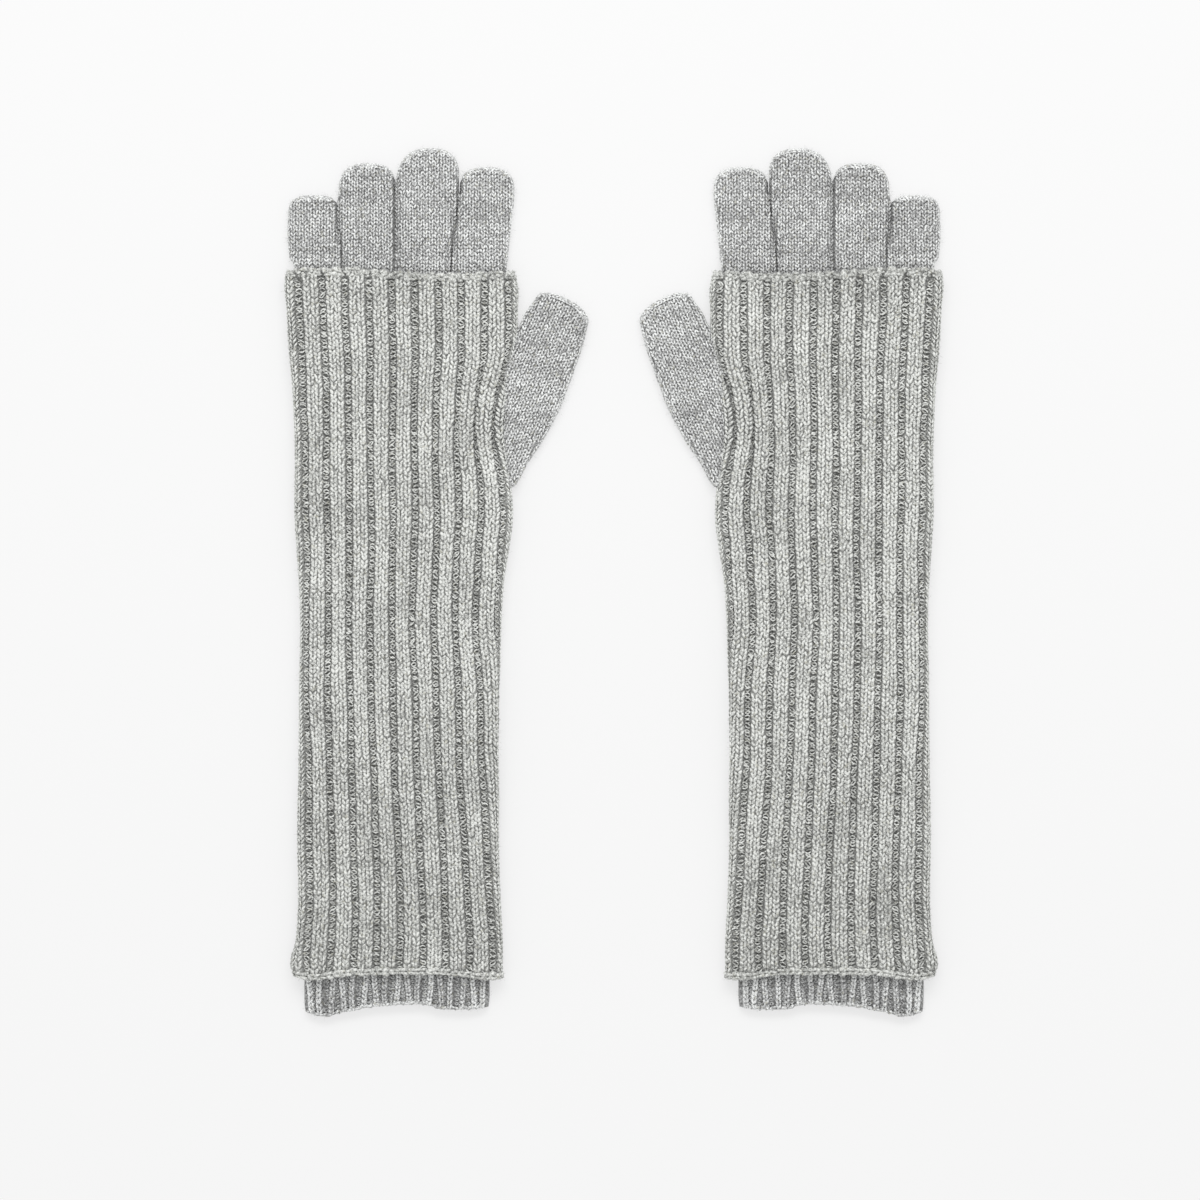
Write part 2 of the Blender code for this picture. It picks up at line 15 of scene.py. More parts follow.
import bpy
import numpy as np
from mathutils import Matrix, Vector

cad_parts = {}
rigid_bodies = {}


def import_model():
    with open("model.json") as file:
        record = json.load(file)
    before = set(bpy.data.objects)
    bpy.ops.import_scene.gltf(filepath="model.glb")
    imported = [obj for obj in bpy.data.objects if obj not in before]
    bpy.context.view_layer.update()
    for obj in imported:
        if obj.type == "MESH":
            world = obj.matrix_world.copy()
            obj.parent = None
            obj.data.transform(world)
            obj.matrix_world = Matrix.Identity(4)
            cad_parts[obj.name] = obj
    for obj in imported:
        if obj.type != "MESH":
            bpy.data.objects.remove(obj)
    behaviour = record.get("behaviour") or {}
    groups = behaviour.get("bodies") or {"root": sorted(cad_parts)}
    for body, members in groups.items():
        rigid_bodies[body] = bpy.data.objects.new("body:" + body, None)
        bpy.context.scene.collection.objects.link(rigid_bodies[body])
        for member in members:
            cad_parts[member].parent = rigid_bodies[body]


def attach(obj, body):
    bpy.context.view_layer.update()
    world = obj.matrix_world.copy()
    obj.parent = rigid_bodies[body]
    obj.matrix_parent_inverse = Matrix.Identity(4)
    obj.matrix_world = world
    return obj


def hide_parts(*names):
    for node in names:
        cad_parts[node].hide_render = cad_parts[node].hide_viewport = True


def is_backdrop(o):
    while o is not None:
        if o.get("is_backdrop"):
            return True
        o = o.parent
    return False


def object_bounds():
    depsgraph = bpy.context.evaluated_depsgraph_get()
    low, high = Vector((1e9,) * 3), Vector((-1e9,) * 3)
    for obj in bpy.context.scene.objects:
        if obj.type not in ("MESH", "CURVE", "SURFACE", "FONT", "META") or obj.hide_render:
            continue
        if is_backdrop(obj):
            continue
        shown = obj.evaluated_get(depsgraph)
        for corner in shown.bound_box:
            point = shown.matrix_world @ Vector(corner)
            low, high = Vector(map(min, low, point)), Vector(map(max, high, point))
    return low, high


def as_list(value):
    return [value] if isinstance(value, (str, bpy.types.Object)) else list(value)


bl_info = {
    "name": "Long Ribbed Gloves",
    "version": (1, 0, 0),
    "blender": (4, 5, 0),
    "location": "3D View > Sidebar > Gloves",
    "description": "Knits a pair of long gloves with ribbed sleeves round their solids",
    "category": "Object",
}

for left_over in list(bpy.data.objects):
    bpy.data.objects.remove(left_over)

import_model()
CAD_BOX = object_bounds()

MM = 0.001
GLOVES = {"left": 1, "right": -1}
SEED = 7
CUFF_SEED, DIGIT_SEED = SEED + 20, SEED + 30

# Driving sizes of the solids
HALF_LENGTH = 181.7
GLOVE_MIDDLE = 89.5
STACK_HEIGHT = 8.2
SLEEVE_WALL = 2.0
GLOVE_WALL = 1.35
LAYER_GAP = 0.4
SEAM_GAP = 0.3
FOLD_REACH = 5.0
RIB_RISE = 0.85
SIDE_RIB = 0.6
TROUGH_CREASE = 0.5
THUMB_SWELL = 0.5
THUMB_SWELL_U, THUMB_SWELL_Y = 20, 80
THUMB_SWELL_WIDTH, THUMB_SWELL_LENGTH = 13, 30
OUTSIDE_HEIGHT = 4.7
CUFF_HEIGHT = 4.3
CUFF_RIBS = 17
FINGER_ROOT_Y = 108.2
CUFF_TOP_Y = -146.0
GLOVE_INSET = SLEEVE_WALL + LAYER_GAP
FOLD_LENGTH = math.pi * math.sqrt((FOLD_REACH**2 + (STACK_HEIGHT / 2) ** 2) / 2)

# The sleeve from its hem to its top edge: its sides, its first trough and the width of its ribs
Section = namedtuple("Section", "y little_side thumb_side first_trough pitch")
SLEEVE = (
    Section(-164.4, -43.6, 42.5, -38.9, 9.70),
    Section(-160.8, -45.4, 42.4, -38.9, 9.70),
    Section(-150.2, -43.3, 42.3, -38.2, 9.62),
    Section(-137.6, -42.4, 41.6, -37.4, 9.41),
    Section(-106.0, -42.6, 40.7, -37.8, 9.24),
    Section(-74.6, -42.0, 41.2, -38.2, 9.03),
    Section(-43.1, -41.8, 41.4, -39.1, 9.07),
    Section(-11.6, -41.4, 42.0, -38.8, 8.82),
    Section(1.0, -42.0, 42.9, -38.8, 8.90),
    Section(13.7, -42.8, 44.9, -38.7, 8.95),
    Section(28.4, -43.7, 46.6, -39.4, 9.18),
    Section(38.4, -43.7, 46.0, -39.5, 9.16),
    Section(51.5, -43.5, 44.4, -39.5, 9.08),
    Section(62.0, -43.7, 43.5, -39.5, 9.08),
    Section(72.5, -44.1, 43.8, -40.0, 9.22),
    Section(83.0, -44.7, 44.4, -40.1, 9.28),
    Section(93.5, -45.8, 46.3, -40.7, 9.49),
    Section(104.0, -46.6, 48.4, -41.4, 9.60),
    Section(114.5, -47.0, 48.6, -42.0, 9.68),
    Section(123.5, -47.9, 48.8, -42.2, 9.70),
    Section(129.8, -47.2, 47.6, -42.4, 9.70),
)
HEM_Y, TOP_Y = SLEEVE[0].y, SLEEVE[-1].y
Wave = namedtuple("Wave", "u rise")
TOP_EDGE = (Wave(-47, 0.6), Wave(-23, 1.5), Wave(0, -0.2), Wave(23, -1.0), Wave(44, 0.0))
HEM_EDGE = (
    *(Wave(-44, -0.4), Wave(-39, -1.3), Wave(-22, 0.3), Wave(0, 0.9)),
    *(Wave(22, 0.4), Wave(36, -1.3), Wave(42, -1.2)),
)
CUFF_EDGE = (
    *(Wave(-40, -2.0), Wave(-32, -3.76), Wave(-23, -1.6), Wave(0, 1.2)),
    *(Wave(11, 1.1), Wave(17, -0.4), Wave(27, -0.8), Wave(37, 0.1)),
)
EDGE_FADE, CUFF_EDGE_FADE = 17.0, 10.0
FIRST_RIB, LAST_RIB = -1, 10
SIDE_LIMIT, SIDE_END = 0.6, 0.95  # the ribs are drawn in past the first share of a side fold
CROWD_Y, CROWD_SPAN, CROWD_PULL = 68.0, 29.0, 0.44
HAND_ROWS = (-125.0, -75.0, -20.0, 13.7, 28.4, 45.0, 62.0, 80.0, 95.0)
SLIT_TOP_Y, SLIT_LOW_Y, SLIT_HALF_HEIGHT = 107.6, 35.6, STACK_HEIGHT / 2 - SLEEVE_WALL - 0.08
OPENING_TOP_Y, OPENING_LOW_Y, OPENING_HALF_HEIGHT = 90.0, 42.0, 0.28
CUT_FROM, CUT_TO = 36.0, 56.0

# The fingers from root to tip, as (y, side towards the little finger, side towards the thumb)
Tip = namedtuple("Tip", "reach power shift")
Finger = namedtuple("Finger", "name girths tip flat")
FINGERS = (
    Finger(
        "little_finger",
        (
            *((FINGER_ROOT_Y, -43.0, -24.5), (131.0, -44.0, -24.3), (136.5, -46.2, -25.0)),
            *((144.5, -47.0, -25.8), (153.5, -46.9, -26.7)),
        ),
        Tip(8.4, 3.4, 0.5),
        (0.045, 0.054),
    ),
    Finger(
        "ring_finger",
        (
            *((FINGER_ROOT_Y, -24.1, -3.0), (131.0, -23.9, -2.4), (144.5, -25.4, -2.3)),
            *((156.5, -26.3, -2.3), (165.0, -25.6, -2.7)),
        ),
        Tip(10.4, 2.7, 0.6),
        (0.050, 0.067),
    ),
    Finger(
        "middle_finger",
        (
            *((FINGER_ROOT_Y, -2.5, 20.3), (131.0, -2.0, 20.9), (148.0, -1.9, 22.5)),
            *((158.5, -1.9, 23.8), (167.5, -1.6, 24.1)),
        ),
        Tip(HALF_LENGTH - 167.5, 2.6, 1.2),
        (0.053, 0.073),
    ),
    Finger(
        "index_finger",
        (
            *((FINGER_ROOT_Y, 20.8, 42.5), (131.0, 21.3, 44.2), (148.0, 22.9, 45.9)),
            *((158.5, 24.3, 47.1), (164.5, 25.3, 47.4)),
        ),
        Tip(9.2, 2.7, -0.4),
        (0.049, 0.065),
    ),
)
# The thumb's sections, and how much each bows with the hand's side
Fan = namedtuple("Fan", "inner_u inner_y outer_u outer_y bow")
THUMB = (
    Fan(43.5, 92.6, 43.5, 39.3, 1.0),
    Fan(46.2, 98.8, 48.4, 41.2, 0.55),
    Fan(47.8, 102.4, 53.3, 50.0, 0.2),
    Fan(49.0, 105.4, 58.8, 58.6, 0.0),
    Fan(50.8, 108.8, 66.3, 72.4, 0.0),
    Fan(52.5, 112.4, 71.0, 85.0, 0.0),
    Fan(54.4, 115.6, 75.6, 97.6, 0.0),
    Fan(56.4, 118.0, 78.0, 107.4, 0.0),
)
THUMB_TIP, THUMB_FLAT, THUMB_LEAN = Tip(6.4, 2.4, -0.6), (0.057, 0.072), math.radians(25)
Girth = namedtuple("Girth", "y little_side thumb_side")
CUFF = (
    Girth(-178.0, -39.9, 36.8),
    Girth(-175.0, -40.3, 37.2),
    Girth(-170.0, -40.3, 37.3),
    Girth(-164.5, -40.1, 37.4),
    Girth(-156.0, -39.9, 37.9),
    Girth(CUFF_TOP_Y - SEAM_GAP, -39.7, 38.4),
)
RIB_FLANK, TROUGH_FLANK = (0.08, 0.28), (0.02, 0.17)  # from its trough, as shares of a rib's width
RIBS_FADE = (0.55, 0.85)  # the ribs flatten over these shares of the way round a side fold
END_TAPER = 4.0  # the ribs get flatter this far from the sleeve's ends
SETTLING, PLUMP_REACH = (0.6, 8.0), 10.0  # how far out of the sleeve the glove comes down and fills out
ROUNDNESS = 2.4
CUFF_RIB_RISE, CUFF_FACE_DROP = 0.29, 0.35
SIDE_HEIGHT = 0.45  # where the sides of a digit or cuff reach farthest out, as a share of its height

# How the knitting lies
WALE_SHARES = (0.335, 0.665)  # the two plain wales of a rib, as shares of its width
VALLEY = 0.05  # how deep the ribs dip between their two wales
TROUGH_DIP = 0.75  # how far the trough's loops lie below the plain layer
TROUGH_SPREAD = 0.155  # half a trough loop, as a share of a rib's width
RIM_INSET, RIM_RADIUS = 1.95, 1.9  # the rim's rows turn round a line this far in from the outline
CLEAR_OF_NEIGHBOUR = 1.5  # the rim has no rows of its own where two fingers press together
PILLOW_REACH = 9.0  # how far in from its outline a finger takes to reach its full height
HEM_PITCH, TOP_PITCH, CUFF_PITCH = 2.6, 2.0, 0.045
EDGE_RIB_WIDTH = 9.7
WANDER, CUFF_STRAY = 0.22, 0.018  # how far a rib strays from its line
RIB_TONES, LOOP_TONES, EDGE_TONES, FINE_TONES = 0.05, 0.18, 0.10, 0.08  # spread of the legs' own tones
# Painted shade: LOOP_TONE sits below RIB_TONE to darken the troughs, and TOP_TONE is lowered so that the top
# roll's lumps, which face the light, do not come out bright.
RIB_TONE, LOOP_TONE, TOP_TONE, HEM_TONE = 0.70, 0.58, 0.5, 0.58
# Painted light: RIM_TONE sits above FINGER_TONE to lighten the digits' side folds and tips.
FINGER_TONE, THUMB_TONE, RIM_TONE, FIBRE_TONE = 0.55, 0.6, 0.62, 0.85
CUFF_TONE, CUFF_LOOP_TONE, CUFF_EDGE_TONE = 0.52, 0.5, 0.55
RIBBED_WALL_TONE, FINE_WALL_TONE = 0.6, 0.42
LEG_SLOPE = 1.3  # of the drawn stitches' legs, in courses to a wale
FIRST_COURSE_Y, LAST_COURSE_Y, LAST_LOOP_Y = HEM_Y + 2.6, TOP_Y - 3.2, TOP_Y - 3.0
STITCHES_END, LOOPS_END, EDGES_END = 0.72, 0.6, 0.7  # how far round a side fold the yarn goes
# Painted shade toward the hem: how much it darkens the sleeve's yarn, and over what length.
HEM_PAINTED_SHADE, HEM_SHADE_REACH = 0.12, 110
FIBRE_CONTRAST = 3.0
FIBRE_WIDTH = 0.09
SLEEVE_FIBRE_REACH, DIGIT_FIBRE_REACH, EDGE_FIBRE_REACH, CUFF_FIBRE_REACH = 1.3, 1.3, 1.4, 1.1
DIGIT_FIBRES, SLEEVE_FIBRES, CUFF_FIBRES = 2.2, 2.5, (160, 30)  # to the millimetre; edge and sides
RIB_LEG_ARCH = 0.5
LEG_PATH = (
    # sideways as a share of a wale, along as a share of a course, above the face
    (0.04, -0.34, -0.42),
    (0.12, 0.05, 0.06),
    (0.24, 0.45, 0.24),
    (0.35, 0.85, 0.10),
    (0.44, 1.22, -0.42),
)
TROUGH_PATH = (
    # sideways as a share of a rib's width, along as a share of a course, above the face
    (-TROUGH_SPREAD, -0.22, -0.10),
    (-0.11, 0.14, 0.22),
    (0.0, 0.40, 0.42),
    (0.11, 0.14, 0.22),
    (TROUGH_SPREAD, -0.22, -0.10),
)
CUFF_LOOP_PATH = ((-0.25, -0.3, -0.3), (-0.16, 0.1, 0), (0, 0.32, 0.1), (0.16, 0.1, 0), (0.25, -0.3, -0.3))
# Along and above, in millimetres
TOP_LOOP_PATH = ((-1.4, -0.5), (-0.8, 0.05), (0.0, 0.25), (0.8, 0.05), (1.4, -0.5))
CUFF_EDGE_PATH = ((-1.2, -0.6), (-0.7, -0.05), (0.0, 0.15), (0.7, -0.05), (1.2, -0.6))


# Curves through the tables


def curve(places, values, at):
    """The values at places on the smooth curve through points, whose places go upwards."""
    places, values = np.array(places, float), np.array(values, float)
    slopes = np.gradient(values, places)
    at = np.clip(at, places[0], places[-1])
    i = np.clip(np.searchsorted(places, at) - 1, 0, len(places) - 2)
    step = places[i + 1] - places[i]
    t = (at - places[i]) / step
    start = (2 * t**3 - 3 * t**2 + 1) * values[i] + (t**3 - 2 * t**2 + t) * step * slopes[i]
    end = (3 * t**2 - 2 * t**3) * values[i + 1] + (t**3 - t**2) * step * slopes[i + 1]
    return start + end


def through(rows, value, at):
    """A value on the smooth curve through a table, whose first column goes upwards."""
    return curve([row[0] for row in rows], [getattr(row, value) for row in rows], at)


def ease(low, high, x):
    """0 below low, 1 above high and a soft step between them."""
    t = np.clip((x - low) / (high - low), 0.0, 1.0)
    return t * t * (3 - 2 * t)


def unit(vectors):
    """Vectors of the same directions with a length of 1."""
    return vectors / np.maximum(np.linalg.norm(vectors, axis=-1, keepdims=True), 1e-9)


def travel(points):
    """How far along a row of points each of them is."""
    return np.cumsum(np.linalg.norm(np.diff(points, axis=0, prepend=points[:1]), axis=-1))


# The sleeve's form


def sides(y):
    """Both sides of the sleeve's plain layer at y."""
    return through(SLEEVE, "little_side", y) + SIDE_RIB, through(SLEEVE, "thumb_side", y) - SIDE_RIB


def folds(y, walk):
    """Both ends of the section's flat top, the end nearer to a walk and the way out from it."""
    little, thumb = sides(y)
    start, end = little + FOLD_REACH, thumb - FOLD_REACH
    far = walk > end
    return start, end, np.where(far, end, start), np.where(far, 1.0, -1.0)


def crowding(y):
    """1 where the ribs are pressed together beside the thumb, 0 away from there."""
    away = np.minimum(np.abs(y - CROWD_Y) / CROWD_SPAN, 1.0)
    return np.cos(math.pi / 2 * away) ** 2


def pressing(line, y):
    """The crowding at the two troughs that it closes, 0 at the others."""
    return crowding(y) * ((line == 8) | (line == 9))


def trough(rib, y):
    """The place across of the trough before a rib, which strays a little as it goes."""
    even = through(SLEEVE, "first_trough", y) + rib * through(SLEEVE, "pitch", y)
    pulled = np.clip(np.minimum(rib, 9) - 6, 0, None)
    stray = np.sin(y / 17 + 2.3 * rib) + 0.6 * np.sin(y / 7.3 + 4.1 * rib)
    return even - CROWD_PULL * pulled**2 * crowding(y) + WANDER * stray


def top_height(u, y):
    """The height of the sleeve's plain top, without its ribs."""
    across = (u - THUMB_SWELL_U) / THUMB_SWELL_WIDTH
    along = (y - THUMB_SWELL_Y) / THUMB_SWELL_LENGTH
    return STACK_HEIGHT + THUMB_SWELL * np.exp(-(across**2) - along**2)


def round_section(y, walk, inset):
    """Points and outward directions of the sleeve's plain section, as (u, z, out_u, out_z).

    walk is a distance along the section that equals u on its flat top, and goes on round the sides.
    """
    start, end, centre, way = folds(y, walk)
    angle = math.pi / 2 - math.pi * np.abs(walk - centre) / FOLD_LENGTH
    half = top_height(centre, y) / 2
    on_top = (walk >= start) & (walk <= end)
    below = walk > end + FOLD_LENGTH
    fold_u = centre + way * (FOLD_REACH - inset) * np.cos(angle)
    fold_z = half + (half - inset) * np.sin(angle)
    u = np.select([on_top, below], [walk, end - (walk - end - FOLD_LENGTH)], fold_u)
    z = np.select([on_top, below], [top_height(walk, y) - inset, inset + 0 * walk], fold_z)
    out_u = np.select([on_top | below], [0 * walk], way * np.cos(angle))
    out_z = np.select([on_top, below], [1 + 0 * walk, -1 + 0 * walk], np.sin(angle))
    return u, z, out_u, out_z


def edge_shift(u, y):
    """How far a point moves along the sleeve to follow the wave of the nearer end."""
    top = through(TOP_EDGE, "rise", u) * (1 - ease(0, EDGE_FADE, TOP_Y - y))
    hem = through(HEM_EDGE, "rise", u) * (1 - ease(0, EDGE_FADE, y - HEM_Y))
    return top + hem


def plain_point(y, walk, inset):
    """Points of the sleeve's plain section, as an array of (u, y, z)."""
    u, z, _, _ = round_section(y, walk, inset)
    return np.stack([u, y + edge_shift(u, y), z], -1)


def rib_walk(rib, share, y):
    """The walk to a place on a rib, kept on its side fold, and its share of the way round the fold."""
    here, after = trough(rib, y), trough(rib + 1, y)
    place = here + share * (after - here)
    start, end, centre, way = folds(y, place)
    past = np.maximum(way * (place - centre) / FOLD_LENGTH, 0.0)
    past = np.where((place >= start) & (place <= end), 0.0, past)
    room = SIDE_END - SIDE_LIMIT
    drawn = SIDE_LIMIT + room * (1 - np.exp(-np.maximum(past - SIDE_LIMIT, 0) / room))
    past = np.where(past > SIDE_LIMIT, drawn, past)
    return np.where(past > 0, centre + way * FOLD_LENGTH * past, place), past


def rib_form(rib, share, y):
    """The height of the ribbed face over the plain layer: two wales a rib, and a trough."""
    nearest = np.abs(share - np.rint(share))
    rise = ease(*RIB_FLANK, nearest) - VALLEY * np.exp(-(((nearest - 0.5) / 0.07) ** 2))
    in_trough = 1 - ease(*TROUGH_FLANK, nearest)
    dip = TROUGH_DIP + TROUGH_CREASE * pressing(rib + np.rint(share), y)
    ends = ease(0.0, END_TAPER, np.minimum(y - HEM_Y, TOP_Y - y))
    return (0.4 + 0.6 * ends) * (RIB_RISE * rise - dip * in_trough)


def sleeve_point(rib, share, y, above):
    """Points of the ribbed face, raised above it, as an array of (u, y, z)."""
    walk, past = rib_walk(rib, share, y)
    u, z, out_u, out_z = round_section(y, walk, 0.0)
    out = rib_form(rib, share, y) * (1 - ease(*RIBS_FADE, past)) + above
    u, z = u + out * out_u, z + out * out_z
    return np.stack([u, y + edge_shift(u, y), z], -1)


def edge_places(y, pitch):
    """Evenly spaced places over the face and side folds at an end of the sleeve, as (rib, share)."""
    little, thumb = sides(y)
    places = np.arange(little - 3.0, thumb + 3.0, pitch)
    lines = np.arange(FIRST_RIB - 2, LAST_RIB + 3)
    troughs = trough(lines.astype(float), y)
    at = np.clip(np.searchsorted(troughs, places) - 1, 0, len(lines) - 2)
    rib, share = lines[at].astype(float), (places - troughs[at]) / (troughs[at + 1] - troughs[at])
    keep = rib_walk(rib, share, y)[1] < EDGES_END
    return rib[keep], share[keep]


# What comes out of the sleeve


def beyond_sleeve(u, y):
    """The distance from a point to the sleeve's outline, below 0 inside it."""
    little, thumb = sides(y)
    top = TOP_Y + through(TOP_EDGE, "rise", u)
    hem = HEM_Y + through(HEM_EDGE, "rise", u)
    return np.maximum.reduce([y - top, hem - y, u - thumb, little - u])


def lift(u, y):
    """The height of the underside: on the sleeve's lower layer, then down to the ground."""
    return GLOVE_INSET * (1 - ease(*SETTLING, beyond_sleeve(u, y)))


def thickness(u, y, free_height):
    """The height of a finger, thumb or cuff: flat inside the sleeve and plumper outside it."""
    inside = top_height(u, y) - 2 * GLOVE_INSET
    return inside + (free_height - inside) * ease(0.0, PLUMP_REACH, beyond_sleeve(u, y))


class Digit:
    """A finger or thumb: the ends of its sections in plan, its outline and its rounded top."""

    def __init__(self, name, sections, tip, flat, lean=0.0):
        self.name, self.tip, self.flat, self.lean = name, tip, flat, lean
        self.sections = np.array(sections, float)
        self.straight = len(self.sections) - 1  # the tip begins at this section
        first, second = self.ends(np.linspace(0, self.straight + 1, 120))
        self.outline = np.concatenate([first, second[::-1][1:]])
        self.steps = travel(self.outline)

    def ends(self, row):
        """The ends of the sections at rows, which count one more section for the tip, in plan."""
        whole, rows = np.clip(row, 0, self.straight), np.arange(self.straight + 1)
        first, second = (
            np.stack([curve(rows, self.sections[:, side, axis], whole) for axis in (0, 1)], -1)
            for side in (0, 1)
        )
        reach, power, shift = self.tip
        step = np.sin(np.clip(row - self.straight, 0, 1) * math.pi / 2)[..., None]
        across = unit(second - first)
        ahead = np.stack([-across[..., 1], across[..., 0]], -1)
        half = np.linalg.norm(second - first, axis=-1, keepdims=True) / 2
        middle = (first + second) / 2 + ahead * reach * step + across * shift * step
        wide = half * np.clip(1 - step**power, 0, 1) ** (1 / power)
        return middle - across * wide, middle + across * wide

    def depth_inside(self, u, y):
        """The distance from points in plan to the outline, below 0 outside it."""
        spots = np.stack([np.ravel(u), np.ravel(y)], -1)
        start = self.outline[:-1]
        line = self.outline[1:] - start
        to = spots[:, None] - start[None]
        along = np.clip((to * line).sum(-1) / np.maximum((line**2).sum(-1), 1e-9), 0, 1)
        gap = to - along[..., None] * line
        distance = np.sqrt((gap**2).sum(-1))
        near, picked = distance.argmin(1), np.arange(len(spots))
        turn = line[near, 0] * to[picked, near, 1] - line[near, 1] * to[picked, near, 0]
        return (distance[picked, near] * np.where(turn < 0, 1, -1)).reshape(np.shape(u))

    def swell(self, u, y, inset, reach):
        """How far the rounded face has risen at places in plan, from 0 to 1."""
        deep = np.maximum(self.depth_inside(u, y) - inset, 0)
        return (1 - (1 - np.minimum(deep / reach, 1)) ** 3) ** (1 / ROUNDNESS)

    def top(self, u, y, inset=0.0):
        """The height of the top over places in plan."""
        full = SIDE_HEIGHT + (1 - SIDE_HEIGHT) * self.swell(u, y, inset, PILLOW_REACH)
        return lift(u, y) + inset + full * (thickness(u, y, OUTSIDE_HEIGHT) - 2 * inset)

    def under(self, u, y, inset):
        """The height of the underside over places in plan."""
        tall = thickness(u, y, OUTSIDE_HEIGHT) - 2 * inset
        return lift(u, y) + inset + SIDE_HEIGHT * tall * (1 - self.swell(u, y, inset, 0.5 * PILLOW_REACH))

    def point(self, u, y, above):
        """Points of the top, raised from it along its own outward direction."""
        nudge = 0.15
        slope_u = (self.top(u + nudge, y) - self.top(u - nudge, y)) / (2 * nudge)
        slope_y = (self.top(u, y + nudge) - self.top(u, y - nudge)) / (2 * nudge)
        out = unit(np.stack([-slope_u, -slope_y, np.ones_like(slope_u)], -1))
        return np.stack([u, y, self.top(u, y)], -1) + above * out

    def outline_spot(self, at):
        """Places on the outline at distances along it."""
        return np.stack([np.interp(at, self.steps, self.outline[:, axis]) for axis in (0, 1)], -1)

    def heading(self, at):
        """The way that the outline runs at distances along it."""
        return unit(self.outline_spot(at + 0.4) - self.outline_spot(at - 0.4))

    def rim_point(self, at, angle, above):
        """Points round the side fold, by their distance along the outline and their slope."""
        spot, ahead = self.outline_spot(at), self.heading(at)
        out = np.stack([-ahead[:, 1], ahead[:, 0]], -1)
        u, y = spot[:, 0], spot[:, 1]
        radius = RIM_RADIUS + above
        reach = -RIM_INSET + radius * np.cos(angle)
        z = lift(u, y) + SIDE_HEIGHT * thickness(u, y, OUTSIDE_HEIGHT) + radius * np.sin(angle)
        return np.stack([u + out[:, 0] * reach, y + out[:, 1] * reach, z], -1)


def clearance(others, u, y):
    """The distance from points in plan to the nearest of some other digits."""
    return np.min([-other.depth_inside(u, y) for other in others], axis=0)


def make_digits():
    """The four fingers and the thumb."""
    digits = []
    for finger in FINGERS:
        sections = [((little, y), (thumb, y)) for y, little, thumb in finger.girths]
        digits.append(Digit(finger.name, sections, finger.tip, finger.flat))
    sections = []
    for fan in THUMB:
        ends = []
        for u, y in ((fan.inner_u, fan.inner_y), (fan.outer_u, fan.outer_y)):
            hand_side = float(sides(y)[1]) - GLOVE_INSET
            ends.append((u + fan.bow * (hand_side + 1.5 * SEAM_GAP - THUMB[0].inner_u), y))
        sections.append(ends)
    digits.append(Digit("thumb", sections, THUMB_TIP, THUMB_FLAT, THUMB_LEAN))
    return digits


def cuff_section(across, y, inset):
    """The cuff's plain top, across from -1 to 1, as (u, y, z)."""
    little, thumb = through(CUFF, "little_side", y), through(CUFF, "thumb_side", y)
    u = (thumb + little) / 2 + across * ((thumb - little) / 2 - inset)
    y = y + through(CUFF_EDGE, "rise", u) * (1 - ease(0, CUFF_EDGE_FADE, y - CUFF[0].y))
    rounded = np.clip(1 - np.abs(across) ** 9, 0, 1) ** (1 / 2.5)
    up = SIDE_HEIGHT + (1 - SIDE_HEIGHT) * rounded
    return u, y, lift(u, y) + inset + up * (thickness(u, y, CUFF_HEIGHT) - 2 * inset)


def cuff_point(across, y, above):
    """Points of the cuff's top with its narrow ribs."""
    u, y, z = cuff_section(across, y, 0.0)
    rib = np.cos(math.pi * (across + 1) * CUFF_RIBS) * CUFF_RIB_RISE * ease(0.0, 0.04, 1 - np.abs(across))
    return np.stack([u, y, z - CUFF_FACE_DROP - rib + above], -1)


# Meshes from arrays

Cloth = namedtuple("Cloth", "points faces tone shade uv map_name")
KNIT_MAP = "knit"  # counts wales across and courses along
YARN_MAP = "OFBake"  # gives every spindle a cell of its own
CELL_EDGE, CELL_SPAN = 0.08, 0.84  # the part of its cell that a spindle fills
END_GIRTH = 0.8  # of a spindle's outer rings, as a share of the middle one's


def spindles(path, out, half_width, half_depth, tone, shade, turns=4):
    """Closed spindles of yarn along paths of points, each with its own tone.

    path is (count, points, 3) and out, the outward directions, is (count, 3).
    """
    count, rings = len(path), path.shape[1] - 2
    ahead = unit(path[:, -2] - path[:, 1] if rings > 1 else path[:, -1] - path[:, 0])
    side = unit(np.cross(out, ahead))
    rise = np.cross(ahead, side)
    last = rings * turns + 1
    points = np.empty((count, last + 1, 3))
    points[:, 0], points[:, last] = path[:, 0], path[:, -1]
    for ring in range(rings):
        girth = 1.0 if ring == rings // 2 else END_GIRTH
        for turn in range(turns):
            angle = 2 * math.pi * turn / turns
            wide = side * (half_width * girth * math.cos(angle))[:, None]
            tall = rise * (half_depth * girth * math.sin(angle))[:, None]
            points[:, 1 + ring * turns + turn] = path[:, ring + 1] + wide + tall
    triangles, quads = [], []
    for turn in range(turns):
        after = (turn + 1) % turns
        triangles.append((0, 1 + after, 1 + turn))
        triangles.append((last, last - turns + turn, last - turns + after))
        for ring in range(rings - 1):
            low, high = 1 + turns * ring, 1 + turns * (ring + 1)
            quads.append((low + turn, low + after, high + after, high + turn))
    first = np.arange(count)[:, None, None] * (last + 1)
    faces = [
        (first + np.array(kind, int).reshape(-1, corners)).reshape(-1, corners)
        for kind, corners in ((quads, 4), (triangles, 3))
    ]
    uv = spindle_map(count, quads, triangles, rings, turns)
    tone, shade = np.repeat(tone, last + 1), np.repeat(shade, last + 1)
    return Cloth(points.reshape(-1, 3), faces, tone, shade, uv, YARN_MAP)


